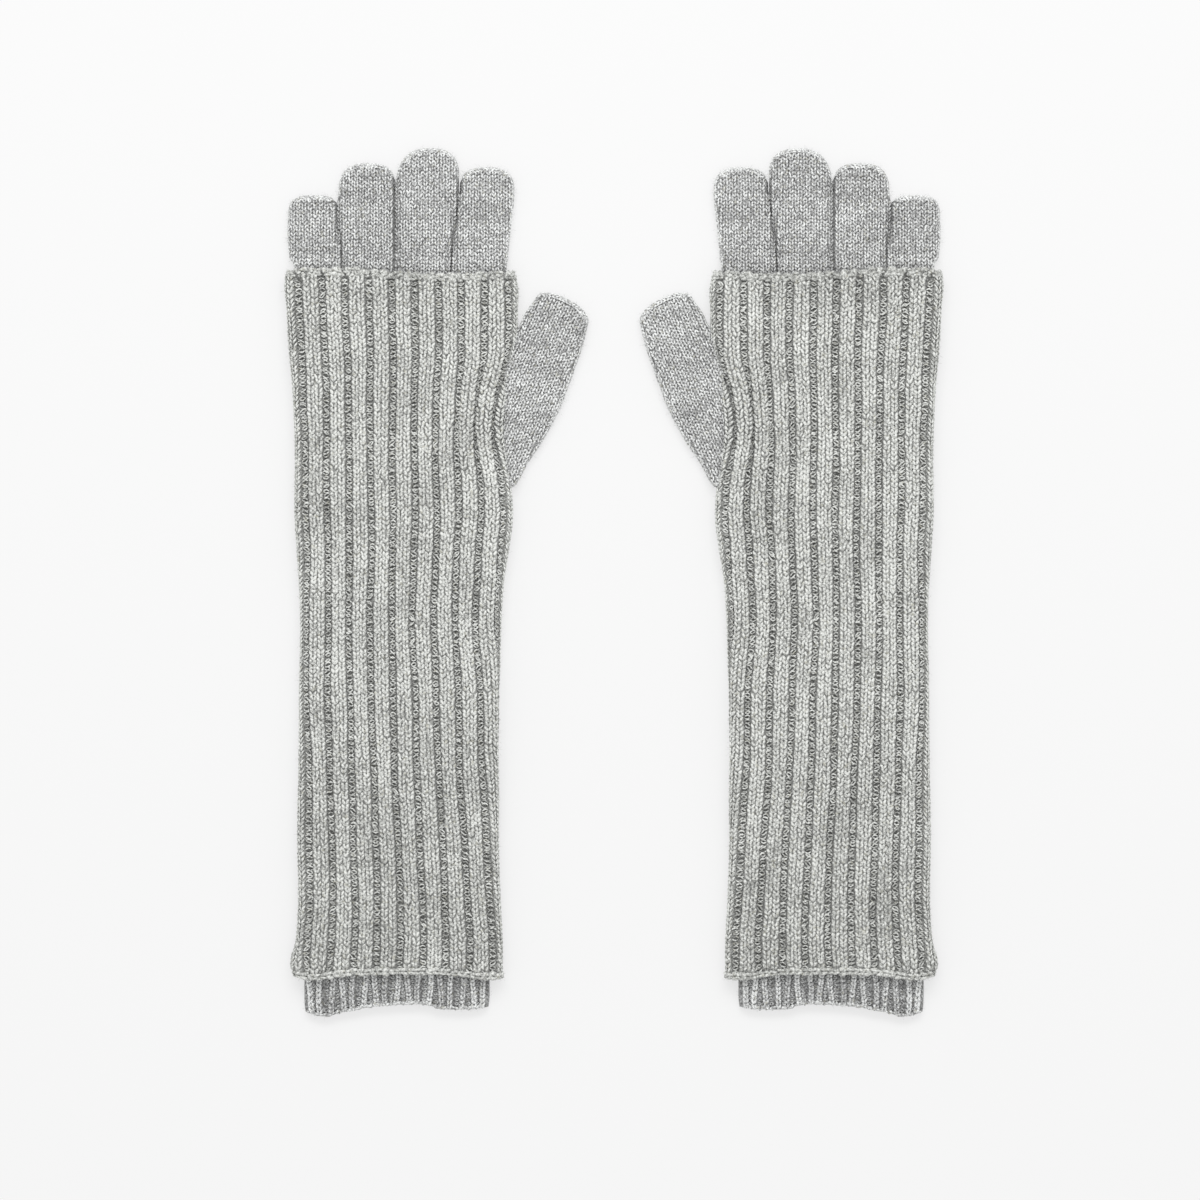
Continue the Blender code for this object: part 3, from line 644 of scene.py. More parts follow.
def spindle_map(count, quads, triangles, rings, turns):
    """Lays each spindle's faces out in a cell of its own."""
    cells = math.ceil(math.sqrt(count))
    low = np.stack([np.arange(count) % cells, np.arange(count) // cells], -1) / cells
    last = rings * turns + 1
    corners = []
    for face in (*quads, *triangles):
        around = {vertex: (vertex - 1) % turns for vertex in face if 0 < vertex < last}
        if max(around.values()) - min(around.values()) > 1:
            around = {vertex: turn or turns for vertex, turn in around.items()}
        middle = sum(around.values()) / len(around)
        for vertex in face:
            level = math.ceil(vertex / turns) / (rings + 1)
            across = around.get(vertex, middle) / turns
            corners.append((CELL_EDGE + CELL_SPAN * across, CELL_EDGE + CELL_SPAN * level))
    corners = np.array(corners) / cells
    split = 4 * len(quads)
    parts = [corners[:split], corners[split:]]
    return np.concatenate([(low[:, None] + part[None]).reshape(-1, 2) for part in parts])


def yarn(path, raised, thick, flatness, tone, shade=1.0):
    """Spindles along paths, with their flat sides towards points raised over the paths' middles."""
    out = unit(raised - path[:, 2])
    return spindles(path, out, thick, flatness * thick, tone, np.broadcast_to(shade, len(path)))


def traced(place, table=LEG_PATH):
    """Paths from a table, each of whose rows a function puts in its place."""
    return np.stack([place(*row) for row in table], 1)


def joined(cloths):
    """Several cloths of spindles as one, with a map that holds them all."""
    faces, maps, at = ([], []), ([], []), 0
    side = math.ceil(math.sqrt(len(cloths)))
    for i, cloth in enumerate(cloths):
        uv = (cloth.uv + np.array([i % side, i // side])) / side
        split = cloth.faces[0].size
        maps[0].append(uv[:split])
        maps[1].append(uv[split:])
        for kind in (0, 1):
            faces[kind].append(cloth.faces[kind] + at)
        at += len(cloth.points)
    points, tone, shade = (
        np.concatenate([getattr(cloth, name) for cloth in cloths])
        for name in ("points", "tone", "shade")
    )
    uv = np.concatenate([*maps[0], *maps[1]])
    return Cloth(points, [np.concatenate(kind) for kind in faces], tone, shade, uv, YARN_MAP)


def flipped(cloth):
    """The same cloth with its faces turned over."""
    maps, at = [], 0
    for face in cloth.faces:
        part = cloth.uv[at : at + face.size].reshape(*face.shape, 2)[:, ::-1]
        maps.append(part.reshape(-1, 2))
        at += face.size
    return cloth._replace(faces=[face[:, ::-1] for face in cloth.faces], uv=np.concatenate(maps))


def make_mesh(name, cloth, way):
    """A mesh in metres of one glove's cloth, mirrored for the right glove."""
    points = cloth.points * MM
    points[:, 0] = way * (points[:, 0] - GLOVE_MIDDLE * MM)
    cloth = cloth if way == 1 else flipped(cloth)
    mesh = bpy.data.meshes.new(name)
    corners = np.concatenate([face.ravel() for face in cloth.faces]).astype(np.int32)
    counts = np.concatenate([np.full(len(face), face.shape[1]) for face in cloth.faces])
    starts = np.concatenate([[0], np.cumsum(counts)[:-1]]).astype(np.int32)
    mesh.vertices.add(len(points))
    mesh.vertices.foreach_set("co", points.astype(np.float32).ravel())
    mesh.loops.add(len(corners))
    mesh.loops.foreach_set("vertex_index", corners)
    mesh.polygons.add(len(starts))
    mesh.polygons.foreach_set("loop_start", starts)
    mesh.update(calc_edges=True)
    for label, values in (("tone", cloth.tone), ("shade", cloth.shade)):
        layer = mesh.attributes.new(label, "FLOAT", "POINT")
        layer.data.foreach_set("value", values.astype(np.float32))
    layer = mesh.uv_layers.new(name=cloth.map_name)
    layer.uv.foreach_set("vector", cloth.uv.astype(np.float32).ravel())
    mesh.shade_smooth()
    mesh.validate()
    return mesh


def add_piece(context, name, cloth, way, material, node=None):
    """Makes a piece, which rides on the frame's one body."""
    piece = bpy.data.objects.new(name, make_mesh(name, cloth, way))
    piece.data.materials.append(material)
    context.scene.collection.objects.link(piece)
    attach(piece, "root")
    if node:
        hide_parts(node)
    return piece


# Shader maths


class Value:
    """A socket in a material, which can be used in sums."""

    def __init__(self, tree, socket):
        self.tree = tree
        self.socket = socket

    def sum_with(self, operation, *others):
        """A Math node on this value and others."""
        values = dict(enumerate([self, *others]))
        return self.tree.add("ShaderNodeMath", {"operation": operation}, values)

    def __add__(self, other):
        return self.sum_with("ADD", other)

    def __sub__(self, other):
        return self.sum_with("SUBTRACT", other)

    def __mul__(self, other):
        return self.sum_with("MULTIPLY", other)

    def __truediv__(self, other):
        return self.sum_with("DIVIDE", other)

    def __rsub__(self, other):
        return self * -1 + other

    __radd__ = __add__
    __rmul__ = __mul__

    def fraction(self):
        return self.sum_with("FRACT")

    def size(self):
        return self.sum_with("ABSOLUTE")

    def clipped(self):
        return self.sum_with("MAXIMUM", 0.0).sum_with("MINIMUM", 1.0)

    def step(self, low, high):
        """0 below low and 1 above high, with a soft step between them."""
        ranges = {"From Min": low, "From Max": high, "Value": self}
        return self.tree.add("ShaderNodeMapRange", {"interpolation_type": "SMOOTHSTEP"}, ranges)


class Finish:
    """A material's node tree."""

    def __init__(self, name):
        self.material = bpy.data.materials.new(name)
        self.material.use_nodes = True
        self.nodes = self.material.node_tree.nodes

    def add(self, kind, settings=None, values=None, output=0):
        """Adds a node with its settings, then the values or links of its sockets."""
        node = self.nodes.new(kind)
        for name, setting in (settings or {}).items():
            setattr(node, name, setting)
        for name, value in (values or {}).items():
            self.feed(node.inputs[name], value)
        return Value(self, node.outputs[output])

    def feed(self, socket, value):
        """Links a value to a socket, or sets the socket to it."""
        if isinstance(value, Value):
            self.material.node_tree.links.new(value.socket, socket)
        else:
            socket.default_value = value

    def attribute(self, name):
        """A number kept on the mesh's points."""
        return self.add("ShaderNodeAttribute", {"attribute_name": name}, output="Fac")

    def noise(self, cells, detail):
        """Noise from 0 to 1 about one half, with so many cells to the metre along each axis."""
        where = self.add("ShaderNodeTexCoord", output="Object")
        where = self.add("ShaderNodeMapping", {}, {"Vector": where, "Scale": cells})
        return self.add("ShaderNodeTexNoise", {}, {"Vector": where, "Scale": 1.0, "Detail": detail}, "Fac")

    def mix(self, share, first, second, blend="MIX"):
        """A mix of two colours, whose sockets are the Mix node's 6th and 7th."""
        settings = {"data_type": "RGBA", "blend_type": blend}
        return self.add("ShaderNodeMix", settings, {0: share, 6: first, 7: second}, 2)

    def dimmed(self, colour, amount):
        """A colour multiplied by a number."""
        grey = self.add("ShaderNodeCombineColor", {}, {"Red": amount, "Green": amount, "Blue": amount})
        return self.mix(1.0, colour, grey, "MULTIPLY")

    def bump(self, height, distance, strength):
        """A bump from a height."""
        values = {"Height": height, "Distance": distance, "Strength": strength}
        return self.add("ShaderNodeBump", {}, values)

    def shade(self, **values):
        """Sets or links the shader's own sockets."""
        for name, value in values.items():
            self.feed(self.nodes["Principled BSDF"].inputs[name.replace("_", " ")], value)
        return self.material


Greys = namedtuple("Greys", "dark light speck streaks patches")
SOFT = {"Sheen_Weight": 0.25, "Sheen_Roughness": 0.6, "Specular_IOR_Level": 0.15}


def melange(finish, greys, tone):
    """The mixed greys of the yarn: each stitch's own tone, dark and light fibres and specks."""
    streaks = finish.noise((30, 130, 60), 3.0)
    patches = finish.noise((75, 45, 75), 1.0)
    fibres = finish.noise((1250, 1250, 1250), 1.0)
    fleck = finish.noise((700, 700, 700), 1.0)
    specks = finish.noise((1500, 1500, 1500), 0.0).step(0.58, 0.72)
    tone = tone + (streaks - 0.5) * greys.streaks + (patches - 0.5) * greys.patches
    light = (tone + (fibres - 0.5) * FIBRE_CONTRAST - specks * 0.4).clipped()
    grey = finish.mix(light, (*greys.dark, 1), (*greys.light, 1))
    return finish.mix(fleck.step(0.62, 0.72) * 0.5, grey, (*greys.speck, 1)), fibres


def yarn_finish(name, greys):
    """Yarn for the modelled stitches."""
    finish = Finish(name)
    grey, fibres = melange(finish, greys, finish.attribute("tone"))
    colour = finish.dimmed(grey, finish.attribute("shade"))
    return finish.shade(Base_Color=colour, Roughness=0.9, Normal=finish.bump(fibres, 0.00012, 0.6), **SOFT)


def cloth_finish(name, greys, ribbed):
    """Knitted cloth whose stitches are in the finish, from the map that counts them."""
    finish = Finish(name)
    counted = finish.add("ShaderNodeUVMap", {"uv_map": KNIT_MAP})
    wale, course = (finish.add("ShaderNodeSeparateXYZ", {}, {0: counted}, axis) for axis in "XY")
    across = ((wale + 0.5).fraction() - 0.5).size()
    leg = (course - across * LEG_SLOPE).fraction()
    rounded = ((leg - 0.5).size() * -2 + 1).step(0.0, 0.75)
    height = rounded * (1 - across.step(0.36, 0.5) * 0.6) * across.step(0.0, 0.1)
    tone = (RIBBED_WALL_TONE if ribbed else FINE_WALL_TONE) + (finish.noise((400, 520, 400), 0.0) - 0.5) * 0.5
    grey, fibres = melange(finish, greys, tone)
    # Painted shade: the colour darkens in the gaps between the knitted legs, and more in the troughs.
    recess_shade = 0.5 + height * 0.5
    if ribbed:
        rib = ((wale + 1.5) / 3).fraction() * 3 - 1.5
        in_trough = 1 - rib.size().step(0.35, 0.6)
        recess_shade = recess_shade * (1 - in_trough * 0.3)
        height = height * (1 - in_trough * 0.5) + (1 - in_trough) * 1.2
    colour = finish.dimmed(grey, finish.attribute("shade") * recess_shade)
    relief = finish.bump(height + fibres * 0.3, 0.0005, 0.8)
    return finish.shade(Base_Color=colour, Roughness=0.92, Normal=relief, **SOFT)


def finishes(context):
    """The yarn and cloth finishes, made once from the colours in the panel."""
    colours = context.scene.glove_colours
    speck = tuple(colours.speck)
    tints = {
        "ribbed": Greys(tuple(colours.rib_dark), tuple(colours.rib_light), speck, 0.5, 0.7),
        "fine": Greys(tuple(colours.fine_dark), tuple(colours.fine_light), speck, 0.6, 0.15),
    }
    for kind, greys in tints.items():
        if f"{kind}_yarn" not in bpy.data.materials:
            yarn_finish(f"{kind}_yarn", greys)
            cloth_finish(f"{kind}_cloth", greys, kind == "ribbed")
    return bpy.data.materials


# Stitches


def tones(generator, rows, columns, base, spread, along=2):
    """Tones of a knitted field, alike along a course, since its yarn runs that way."""
    field = generator.normal(0, 1, (rows, columns + 2 * along))
    window = np.ones(2 * along + 1) / math.sqrt(2 * along + 1)
    smooth = np.stack([np.convolve(row, window, "valid") for row in field])
    own = generator.normal(0, 1, (rows, columns))
    return base + spread * (0.8 * smooth + 0.6 * own)


def lattice(rows, columns):
    """The row and column of every place in a field."""
    row, column = np.meshgrid(np.arange(rows), np.arange(columns), indexing="ij")
    return row.ravel(), column.ravel()


def painted_shade_toward_hem(y):
    """How much painted shade darkens the sleeve's yarn toward its hem, as the light falls off away from the
    top.
    """
    return HEM_PAINTED_SHADE * (1 - ease(HEM_Y, HEM_Y + HEM_SHADE_REACH, y))


def rib_stitches(knit):
    """The V-shaped stitches of the ribs on the sleeve's face and side folds, in two halves."""
    generator = np.random.default_rng(SEED)
    course = knit.sleeve_course / MM
    rows, ribs = np.arange(FIRST_COURSE_Y, LAST_COURSE_Y, course), np.arange(FIRST_RIB, LAST_RIB)
    field = tones(generator, len(rows), 2 * len(ribs), RIB_TONE, 0.7 * knit.tone_spread)
    row, wale = lattice(*field.shape)
    rib = ribs[wale // 2].astype(float)
    share = np.array(WALE_SHARES)[wale % 2]
    y = rows[row] + generator.normal(0, 0.08, len(row)) + 0.5 * course * (wale % 2)
    keep = rib_walk(rib, share, y)[1] < STITCHES_END
    rib, share, y, tone = rib[keep], share[keep], y[keep], field[row, wale][keep]
    stretch = 1 + crowding(y) * np.select([rib == 8, (rib == 7) | (rib == 9)], [0.5, 0.3], 0.0)
    share = 0.5 + (share - 0.5) * stretch
    width = (WALE_SHARES[1] - WALE_SHARES[0]) * stretch
    halves = ([], [])
    for side in (-1, 1):
        jitter = generator.normal(0, 1, (3, len(y)))

        def place(sideways, along, above):
            spot_share = share + width * (side * sideways + 0.04 * jitter[0])
            spot_y = y + course * (along + 0.05 * jitter[1])
            return sleeve_point(rib, spot_share, spot_y, RIB_LEG_ARCH * above)

        path = traced(place)
        sideways, along, above = LEG_PATH[2]
        raised = sleeve_point(rib, share + width * side * sideways, y + course * along, above + 0.5)
        thick = knit.rib_yarn / MM / 2 * (1 + 0.08 * jitter[2])
        # Each leg's own tone, less the painted shade toward the hem.
        own = tone - painted_shade_toward_hem(y) + generator.normal(0, RIB_TONES, len(y))
        for half, made in zip((rib >= 5, rib < 5), halves):
            made.append(yarn(path[half], raised[half], thick[half], 0.6, own[half]))
    return [joined(half) for half in halves]


def trough_loops(knit):
    """The small round loops at the bottom of each trough, two arcs to a course."""
    generator = np.random.default_rng(SEED + 1)
    course = knit.sleeve_course / MM
    rows = np.arange(FIRST_COURSE_Y, LAST_LOOP_Y, course)
    lines = np.arange(FIRST_RIB, LAST_RIB + 1)
    field = tones(generator, len(rows), len(lines), LOOP_TONE, knit.tone_spread)
    row, line = lattice(*field.shape)
    rib = lines[line].astype(float)
    y = rows[row] + generator.normal(0, 0.1, len(row))
    keep = rib_walk(rib, 0.0, y)[1] < LOOPS_END
    rib, y, tone = rib[keep], y[keep], field[row, line][keep]
    pressed = pressing(rib, y)
    slant = generator.normal(0, 0.45, len(y))
    made = []
    for turn in (-1, 1):
        jitter = generator.normal(0, 1, (2, len(y)))

        def place(sideways, bend, above):
            spot_y = y + course * turn * (bend + 0.16 * jitter[0]) + slant * sideways / TROUGH_SPREAD
            spot_share = sideways * (1 - 0.4 * pressed) + 0.018 * jitter[1]
            return sleeve_point(rib, spot_share, spot_y, above)

        path = traced(place, TROUGH_PATH)
        raised = sleeve_point(rib, 0.0 * y, y + course * turn * 0.34, 0.9)
        thick = knit.rib_yarn / MM / 2 * (0.6 + 0.06 * jitter[1])
        # Each loop's own tone, less the painted shade toward the hem.
        own = tone - painted_shade_toward_hem(y) + generator.normal(0, LOOP_TONES, len(y))
        # Painted shade: the loops darken in the two closed creases beside the thumb, times the trough shade
        # setting.
        made.append(yarn(path, raised, thick, 0.9, own, knit.trough_shade * (1 - 0.4 * pressed)))
    return joined(made)


def hem_chain(knit):
    """The hem's chain of slanting stitches, which lie along it in two rows."""
    generator = np.random.default_rng(SEED + 3)
    rib, share = edge_places(HEM_Y, HEM_PITCH)
    middle_y = HEM_Y + 1.15
    made = []
    for side in (-1, 1):
        jitter = generator.normal(0, 1, (4, len(share)))
        size = 1 + 0.12 * jitter[3]

        def place(along, sideways, above):
            spot_share = share + HEM_PITCH * (sideways + 0.06 * jitter[0]) / EDGE_RIB_WIDTH
            spot_y = middle_y + side * (2.3 * along + 0.15) * size + 0.12 * jitter[1]
            return sleeve_point(rib, spot_share, spot_y, 0.85 * above + 0.5 + 0.1 * jitter[2])

        path = traced(place)
        raised = sleeve_point(rib, share, middle_y + side * 0.6, 1.8)
        own = HEM_TONE + generator.normal(0, EDGE_TONES, len(share))
        made.append(yarn(path, raised, knit.rib_yarn / MM / 2 * 1.08 * size, 0.8, own))
    return joined(made)


def odd_loops(knit, generator, place, y, stray, table, thick, tone):
    """A row of thick loops that lie at odd angles. place takes a distance along the row too."""
    lean = generator.normal(0, 0.4, len(y))
    size = np.clip(1 + 0.18 * generator.normal(0, 1, len(y)), 0.6, 1.5)
    y = y + generator.normal(0, stray, len(y))

    def loop(along, above):
        return place(along * size * np.cos(lean), y + along * size * np.sin(lean), above)

    own = tone + generator.normal(0, EDGE_TONES, len(y))
    thick = knit.rib_yarn / MM / 2 * thick * size
    return yarn(traced(loop, table), place(0.0, y, None), thick, 0.8, own)


def top_roll(knit):
    """The sleeve's lumpy top edge, cast off in thick loops that lie at odd angles."""
    generator = np.random.default_rng(SEED + 2)
    made = []
    for inward, lifted in ((0.5, 0.0), (1.5, 0.3), (2.5, 0.1)):
        rib, share = edge_places(TOP_Y, TOP_PITCH)
        share = share + generator.normal(0, 0.05, len(share))

        def place(along, y, above):
            above = 2.0 if above is None else above + lifted
            return sleeve_point(rib, share + along / EDGE_RIB_WIDTH, y, above)

        y = TOP_Y - inward + 0 * share
        made.append(odd_loops(knit, generator, place, y, 0.22, TOP_LOOP_PATH, 1.2, TOP_TONE))
    return joined(made)


def digit_stitches(knit, digit, others, seed):
    """The fine plain stitches on a finger or thumb: a field over its top and rows on its rim."""
    generator = np.random.default_rng(seed)
    wale, course = knit.fine_wale / MM, knit.fine_course / MM
    axis = np.array([math.sin(digit.lean), math.cos(digit.lean)])
    side = np.array([axis[1], -axis[0]])
    columns, rows = np.arange(-24, 25), np.arange(-48, 48)
    base = THUMB_TONE if digit.lean else FINGER_TONE
    field = tones(generator, len(rows), len(columns), base, knit.tone_spread, 3)
    streak = np.convolve(generator.normal(0, 1, len(rows)), (0.3, 0.4, 0.3), "same")
    row, column = lattice(*field.shape)
    spots = digit.outline.mean(0) + side * (columns[column] * wale)[:, None]
    spots = spots + axis * (rows[row] * course)[:, None]
    spots = spots + generator.normal(0, 0.06, spots.shape)
    u, y = spots[:, 0], spots[:, 1]
    outside = beyond_sleeve(u, y)
    ahead = digit.depth_inside(u + axis[0] * 1.3 * course, y + axis[1] * 1.3 * course)
    pressed = 1 - ease(0.6, 2.0, clearance(others, u, y))
    deep = np.minimum(digit.depth_inside(u, y), ahead + 0.3)
    keep = (deep > 0.45 - 0.35 * pressed) & (outside > -3.0) & ((y > FINGER_ROOT_Y) | (digit.lean > 0))
    u, y = u[keep], y[keep]
    # Painted shade: the stitches darken beside a neighbouring digit, and painted shadow dims them where they
    # go in under the sleeve's edge.
    shade = ((1 - 0.25 * pressed) * sleeve_edge_shadow(outside))[keep]
    tone = (field[row, column] + knit.tone_spread * streak[row])[keep]

    def spot(sideways, along, above):
        spot_u = u + side[0] * sideways + axis[0] * along
        return digit.point(spot_u, y + side[1] * sideways + axis[1] * along, above)

    made = []
    for way in (-1, 1):
        jitter = generator.normal(0, 1, (3, len(u)))

        def place(sideways, along, above):
            sideways = wale * (way * sideways + 0.03 * jitter[0])
            return spot(sideways, course * (along + 0.04 * jitter[1]), 0.62 * above)

        path, raised = traced(place), spot(way * 0.21 * wale, 0.45 * course, 0.6)
        thick = knit.fine_yarn / MM / 2 * (1 + 0.1 * jitter[2])
        own = tone + generator.normal(0, FINE_TONES, len(u))
        made.append(yarn(path, raised, thick, 0.75, own, shade))
    made += rim_stitches(knit, digit, others, generator)
    made.append(digit_fuzz(digit, others, generator))
    return joined(made)


def sleeve_edge_shadow(outside):
    """Painted shadow that dims a digit where it goes in under the sleeve's edge."""
    return 0.78 + 0.22 * ease(-0.5, 2.5, outside)


def rim_stitches(knit, digit, others, generator):
    """Rows of stitches that follow a digit's outline round its side folds and tip."""
    course = knit.fine_course / MM
    side = np.array([math.cos(digit.lean), -math.sin(digit.lean)])
    made = []
    for angle, shift in ((22, 0.0), (-10, 0.5), (-42, 0.25), (58, 0.6)):
        at = np.arange(1.0, digit.steps[-1] - 1.0, course) + shift * course
        forward = np.where(at < digit.steps[-1] / 2, 1.0, -1.0)
        centre = digit.outline_spot(at).T
        keep = (beyond_sleeve(*centre) > -1.0) & (clearance(others, *centre) > CLEAR_OF_NEIGHBOUR)
        keep &= (angle < 45) | (np.abs(digit.heading(at) @ side) > 0.5)
        at, forward, slope = at[keep], forward[keep], math.radians(angle)
        for way in (-1, 1):
            jitter = generator.normal(0, 1, (2, len(at)))

            def place(sideways, along, above):
                round_side = slope + way * sideways * 0.95
                return digit.rim_point(at + forward * course * along, round_side, 0.5 * above)

            raised = digit.rim_point(at + forward * course * 0.45, slope + way * 0.2, 0.7)
            thick = knit.fine_yarn / MM / 2 * (1 + 0.08 * jitter[0])
            own = RIM_TONE + generator.normal(0, FINE_TONES, len(at))
            made.append(yarn(traced(place), raised, thick, 0.75, own))
    return made


def fuzz(spots, out, reach, generator):
    """Stray fibres that stand off the yarn, each a thin bent dart."""
    count = len(spots)
    way = unit(unit(out + 0 * spots) + 0.55 * generator.normal(0, 1, (count, 3)))
    reach = reach * np.clip(generator.gamma(2.0, 0.5, count), 0.3, 2.2)[:, None]
    bend = 0.3 * generator.normal(0, 1, (count, 3))
    path = np.stack([spots, spots + reach * (0.5 * way + 0.5 * bend), spots + reach * way], 1)
    path[..., 2] = np.maximum(path[..., 2], FIBRE_WIDTH)
    side = np.cross(way, generator.normal(0, 1, (count, 3)))
    half = np.full(count, FIBRE_WIDTH / 2)
    tone = FIBRE_TONE + generator.normal(0, 0.15, count)
    return spindles(path, side, half, half, tone, np.ones(count), turns=3)


def digit_fuzz(digit, others, generator):
    """Stray fibres along a digit's outline."""
    length = digit.steps[-1]
    at = generator.uniform(1.0, length - 1.0, int(DIGIT_FIBRES * length))
    centre = digit.outline_spot(at).T
    at = at[(beyond_sleeve(*centre) > 0.5) & (clearance(others, *centre) > 0.5)]
    slope = np.radians(generator.uniform(-30, 60, len(at)))
    low = digit.rim_point(at, slope, 0.2)
    return fuzz(low, digit.rim_point(at, slope, 1.2) - low, DIGIT_FIBRE_REACH, generator)


def sleeve_fuzz():
    """Stray fibres along the sleeve's side folds, its top edge and its hem."""
    generator = np.random.default_rng(SEED + 4)
    made = []
    for far in (False, True):
        y = generator.uniform(HEM_Y, TOP_Y, int(SLEEVE_FIBRES * (TOP_Y - HEM_Y)))
        little, thumb = sides(y)
        past = generator.uniform(0.15, 0.55, len(y)) * FOLD_LENGTH
        walk = thumb - FOLD_REACH + past if far else little + FOLD_REACH - past
        keep = (y > SLIT_TOP_Y) | (y < SLIT_LOW_Y) | (not far)
        y, walk = y[keep], walk[keep]
        _, _, out_u, out_z = round_section(y, walk, -0.5)
        out = np.stack([out_u, 0 * out_u, out_z], -1)
        made.append(fuzz(plain_point(y, walk, -0.5), out, SLEEVE_FIBRE_REACH, generator))
    for edge, way in ((TOP_Y, 1), (HEM_Y, -1)):
        rib, share = edge_places(edge, 0.3)
        y = edge - way * generator.uniform(0, 2.0, len(rib))
        out = np.array([0, way, 0.7])
        made.append(fuzz(sleeve_point(rib, share, y, 0.8), out, EDGE_FIBRE_REACH, generator))
    return joined(made)


def cuff_stitches(knit):
    """The cuff's narrow ribs with a row of stitches on each and loops between them, and its edge."""
    generator = np.random.default_rng(CUFF_SEED)
    course = knit.sleeve_course / MM * 0.95
    rows = np.arange(CUFF[0].y + 0.4, HEM_Y + 3.0, course)
    row, rib = lattice(len(rows), CUFF_RIBS)
    pitch = 2 / CUFF_RIBS
    y = rows[row] + generator.normal(0, 0.08, len(row))
    rib_tones = 0.14 * generator.normal(0, 1, CUFF_RIBS) - 0.1 * np.cos(0.8 * np.arange(CUFF_RIBS))
    across = (2 * rib + 1) / CUFF_RIBS - 1 + CUFF_STRAY * np.sin(y / 6 + 2.1 * rib)
    yarn_half = knit.rib_yarn / MM / 2
    made = []
    for side in (-1, 1):
        jitter = generator.normal(0, 1, (2, len(y)))

        def leg(sideways, along, above):
            return cuff_point(across + pitch * side * sideways * 0.52, y + course * along, above + 0.25)

        raised = cuff_point(across + pitch * side * 0.13, y + course * 0.45, 1.1)
        thick = yarn_half * 0.86 * (1 + 0.1 * jitter[0])
        own = CUFF_TONE + rib_tones[rib] + generator.normal(0, 0.5 * FINE_TONES, len(y))
        made.append(yarn(traced(leg), raised, thick, 0.8, own, knit.cuff_shade))
    keep = rib > 0
    between, low_y, tone = (across - 1 / CUFF_RIBS)[keep], y[keep], 0.5 * rib_tones[rib[keep]]
    for turn in (-1, 1):

        def loop(sideways, bend, above):
            return cuff_point(between + pitch * sideways, low_y + course * turn * bend, above)

        own = CUFF_LOOP_TONE + tone + generator.normal(0, FINE_TONES, len(low_y))
        thick = np.full(len(low_y), yarn_half * 0.5)
        path, raised = traced(loop, CUFF_LOOP_PATH), loop(0.0, 0.32, 0.8)
        # Painted shade: the loops between the cuff's ribs are dimmed to 0.82 of the cuff's brightness.
        made.append(yarn(path, raised, thick, 0.8, own, 0.82 * knit.cuff_shade))
    return joined([*made, cuff_edge(knit, generator), *cuff_fuzz(generator)])


def cuff_edge(knit, generator):
    """The cuff's lumpy lower edge."""
    at = np.arange(-0.96, 0.96, CUFF_PITCH)
    half = (CUFF[0].thumb_side - CUFF[0].little_side) / 2

    def place(along, y, above):
        return cuff_point(np.clip(at + along / half, -1, 1), y, 1.6 if above is None else above + 0.2)

    y = CUFF[0].y + 0.6 + 0 * at
    return odd_loops(knit, generator, place, y, 0.2, CUFF_EDGE_PATH, 0.95, CUFF_EDGE_TONE)


def cuff_fuzz(generator):
    """Stray fibres along the cuff's lower edge and sides."""
    along_edge, along_side = CUFF_FIBRES
    at = generator.uniform(-0.98, 0.98, along_edge)
    low = cuff_point(at, CUFF[0].y + generator.uniform(0, 1, along_edge), 0.2)
    made = [fuzz(low, np.array([0, -1, 0.6]), CUFF_FIBRE_REACH, generator)]
    for side in (-1, 1):
        y = generator.uniform(CUFF[0].y + 1, HEM_Y, along_side)
        low = cuff_point(side * 0.985 + 0 * y, y, 0.0)
        made.append(fuzz(low, np.array([side, 0, 0.4]), CUFF_FIBRE_REACH, generator))
    return made


# Walls of cloth


def ring_faces(rows, columns, first=0):
    """Quads of a grid of points, each of whose rows closes round into a ring."""
    i = np.arange(rows - 1)[:, None] * columns
    j = np.arange(columns)[None]
    after = (j + 1) % columns
    quads = np.stack([i + j, i + after, i + columns + after, i + columns + j], -1)
    return first + quads.reshape(-1, 4)


def tube(outer, inner, counted, shade, closed_tip=False):
    """A wall of cloth between an outer and an inner grid of rings of as many points."""
    rows, columns = outer.shape[:2]
    inner_rows, first = inner.shape[0], rows * columns
    points = [outer.reshape(-1, 3), inner.reshape(-1, 3)]
    nearest = np.linspace(0, rows - 1, inner_rows).astype(int)
    flat = [counted.reshape(-1, 2), counted[nearest].reshape(-1, 2)]
    faces = [ring_faces(rows, columns), ring_faces(inner_rows, columns, first)[:, ::-1]]
    j = np.arange(columns)
    after = (j + 1) % columns
    faces.append(np.stack([j, first + j, first + after, after], -1))
    last, inner_last = (rows - 1) * columns, first + (inner_rows - 1) * columns
    triangles = np.zeros((0, 3), int)
    if closed_tip:
        pole = inner_last + columns
        points.append(np.stack([outer[-1].mean(0), inner[-1].mean(0)]))
        flat.append(np.stack([counted[-1].mean(0)] * 2))
        outer_cap = np.stack([last + j, last + after, pole + 0 * j], -1)
        inner_cap = np.stack([inner_last + after, inner_last + j, pole + 1 + 0 * j], -1)
        triangles = np.concatenate([outer_cap, inner_cap])
    else:
        faces.append(np.stack([last + j, last + after, inner_last + after, inner_last + j], -1))
    points, quads = np.concatenate(points), np.concatenate(faces)
    uv = np.concatenate(flat)[np.concatenate([quads.ravel(), triangles.ravel()])]
    # Painted shade: every point past the outer grid, on the inner side and at the tip's poles, is dimmed to
    # 0.9.
    shades = np.concatenate([shade.ravel(), np.full(len(points) - first, 0.9)])
    cloth = Cloth(points, [quads, triangles], np.full(len(points), 0.5), shades, uv, KNIT_MAP)
    return cloth if volume(cloth) > 0 else flipped(cloth)


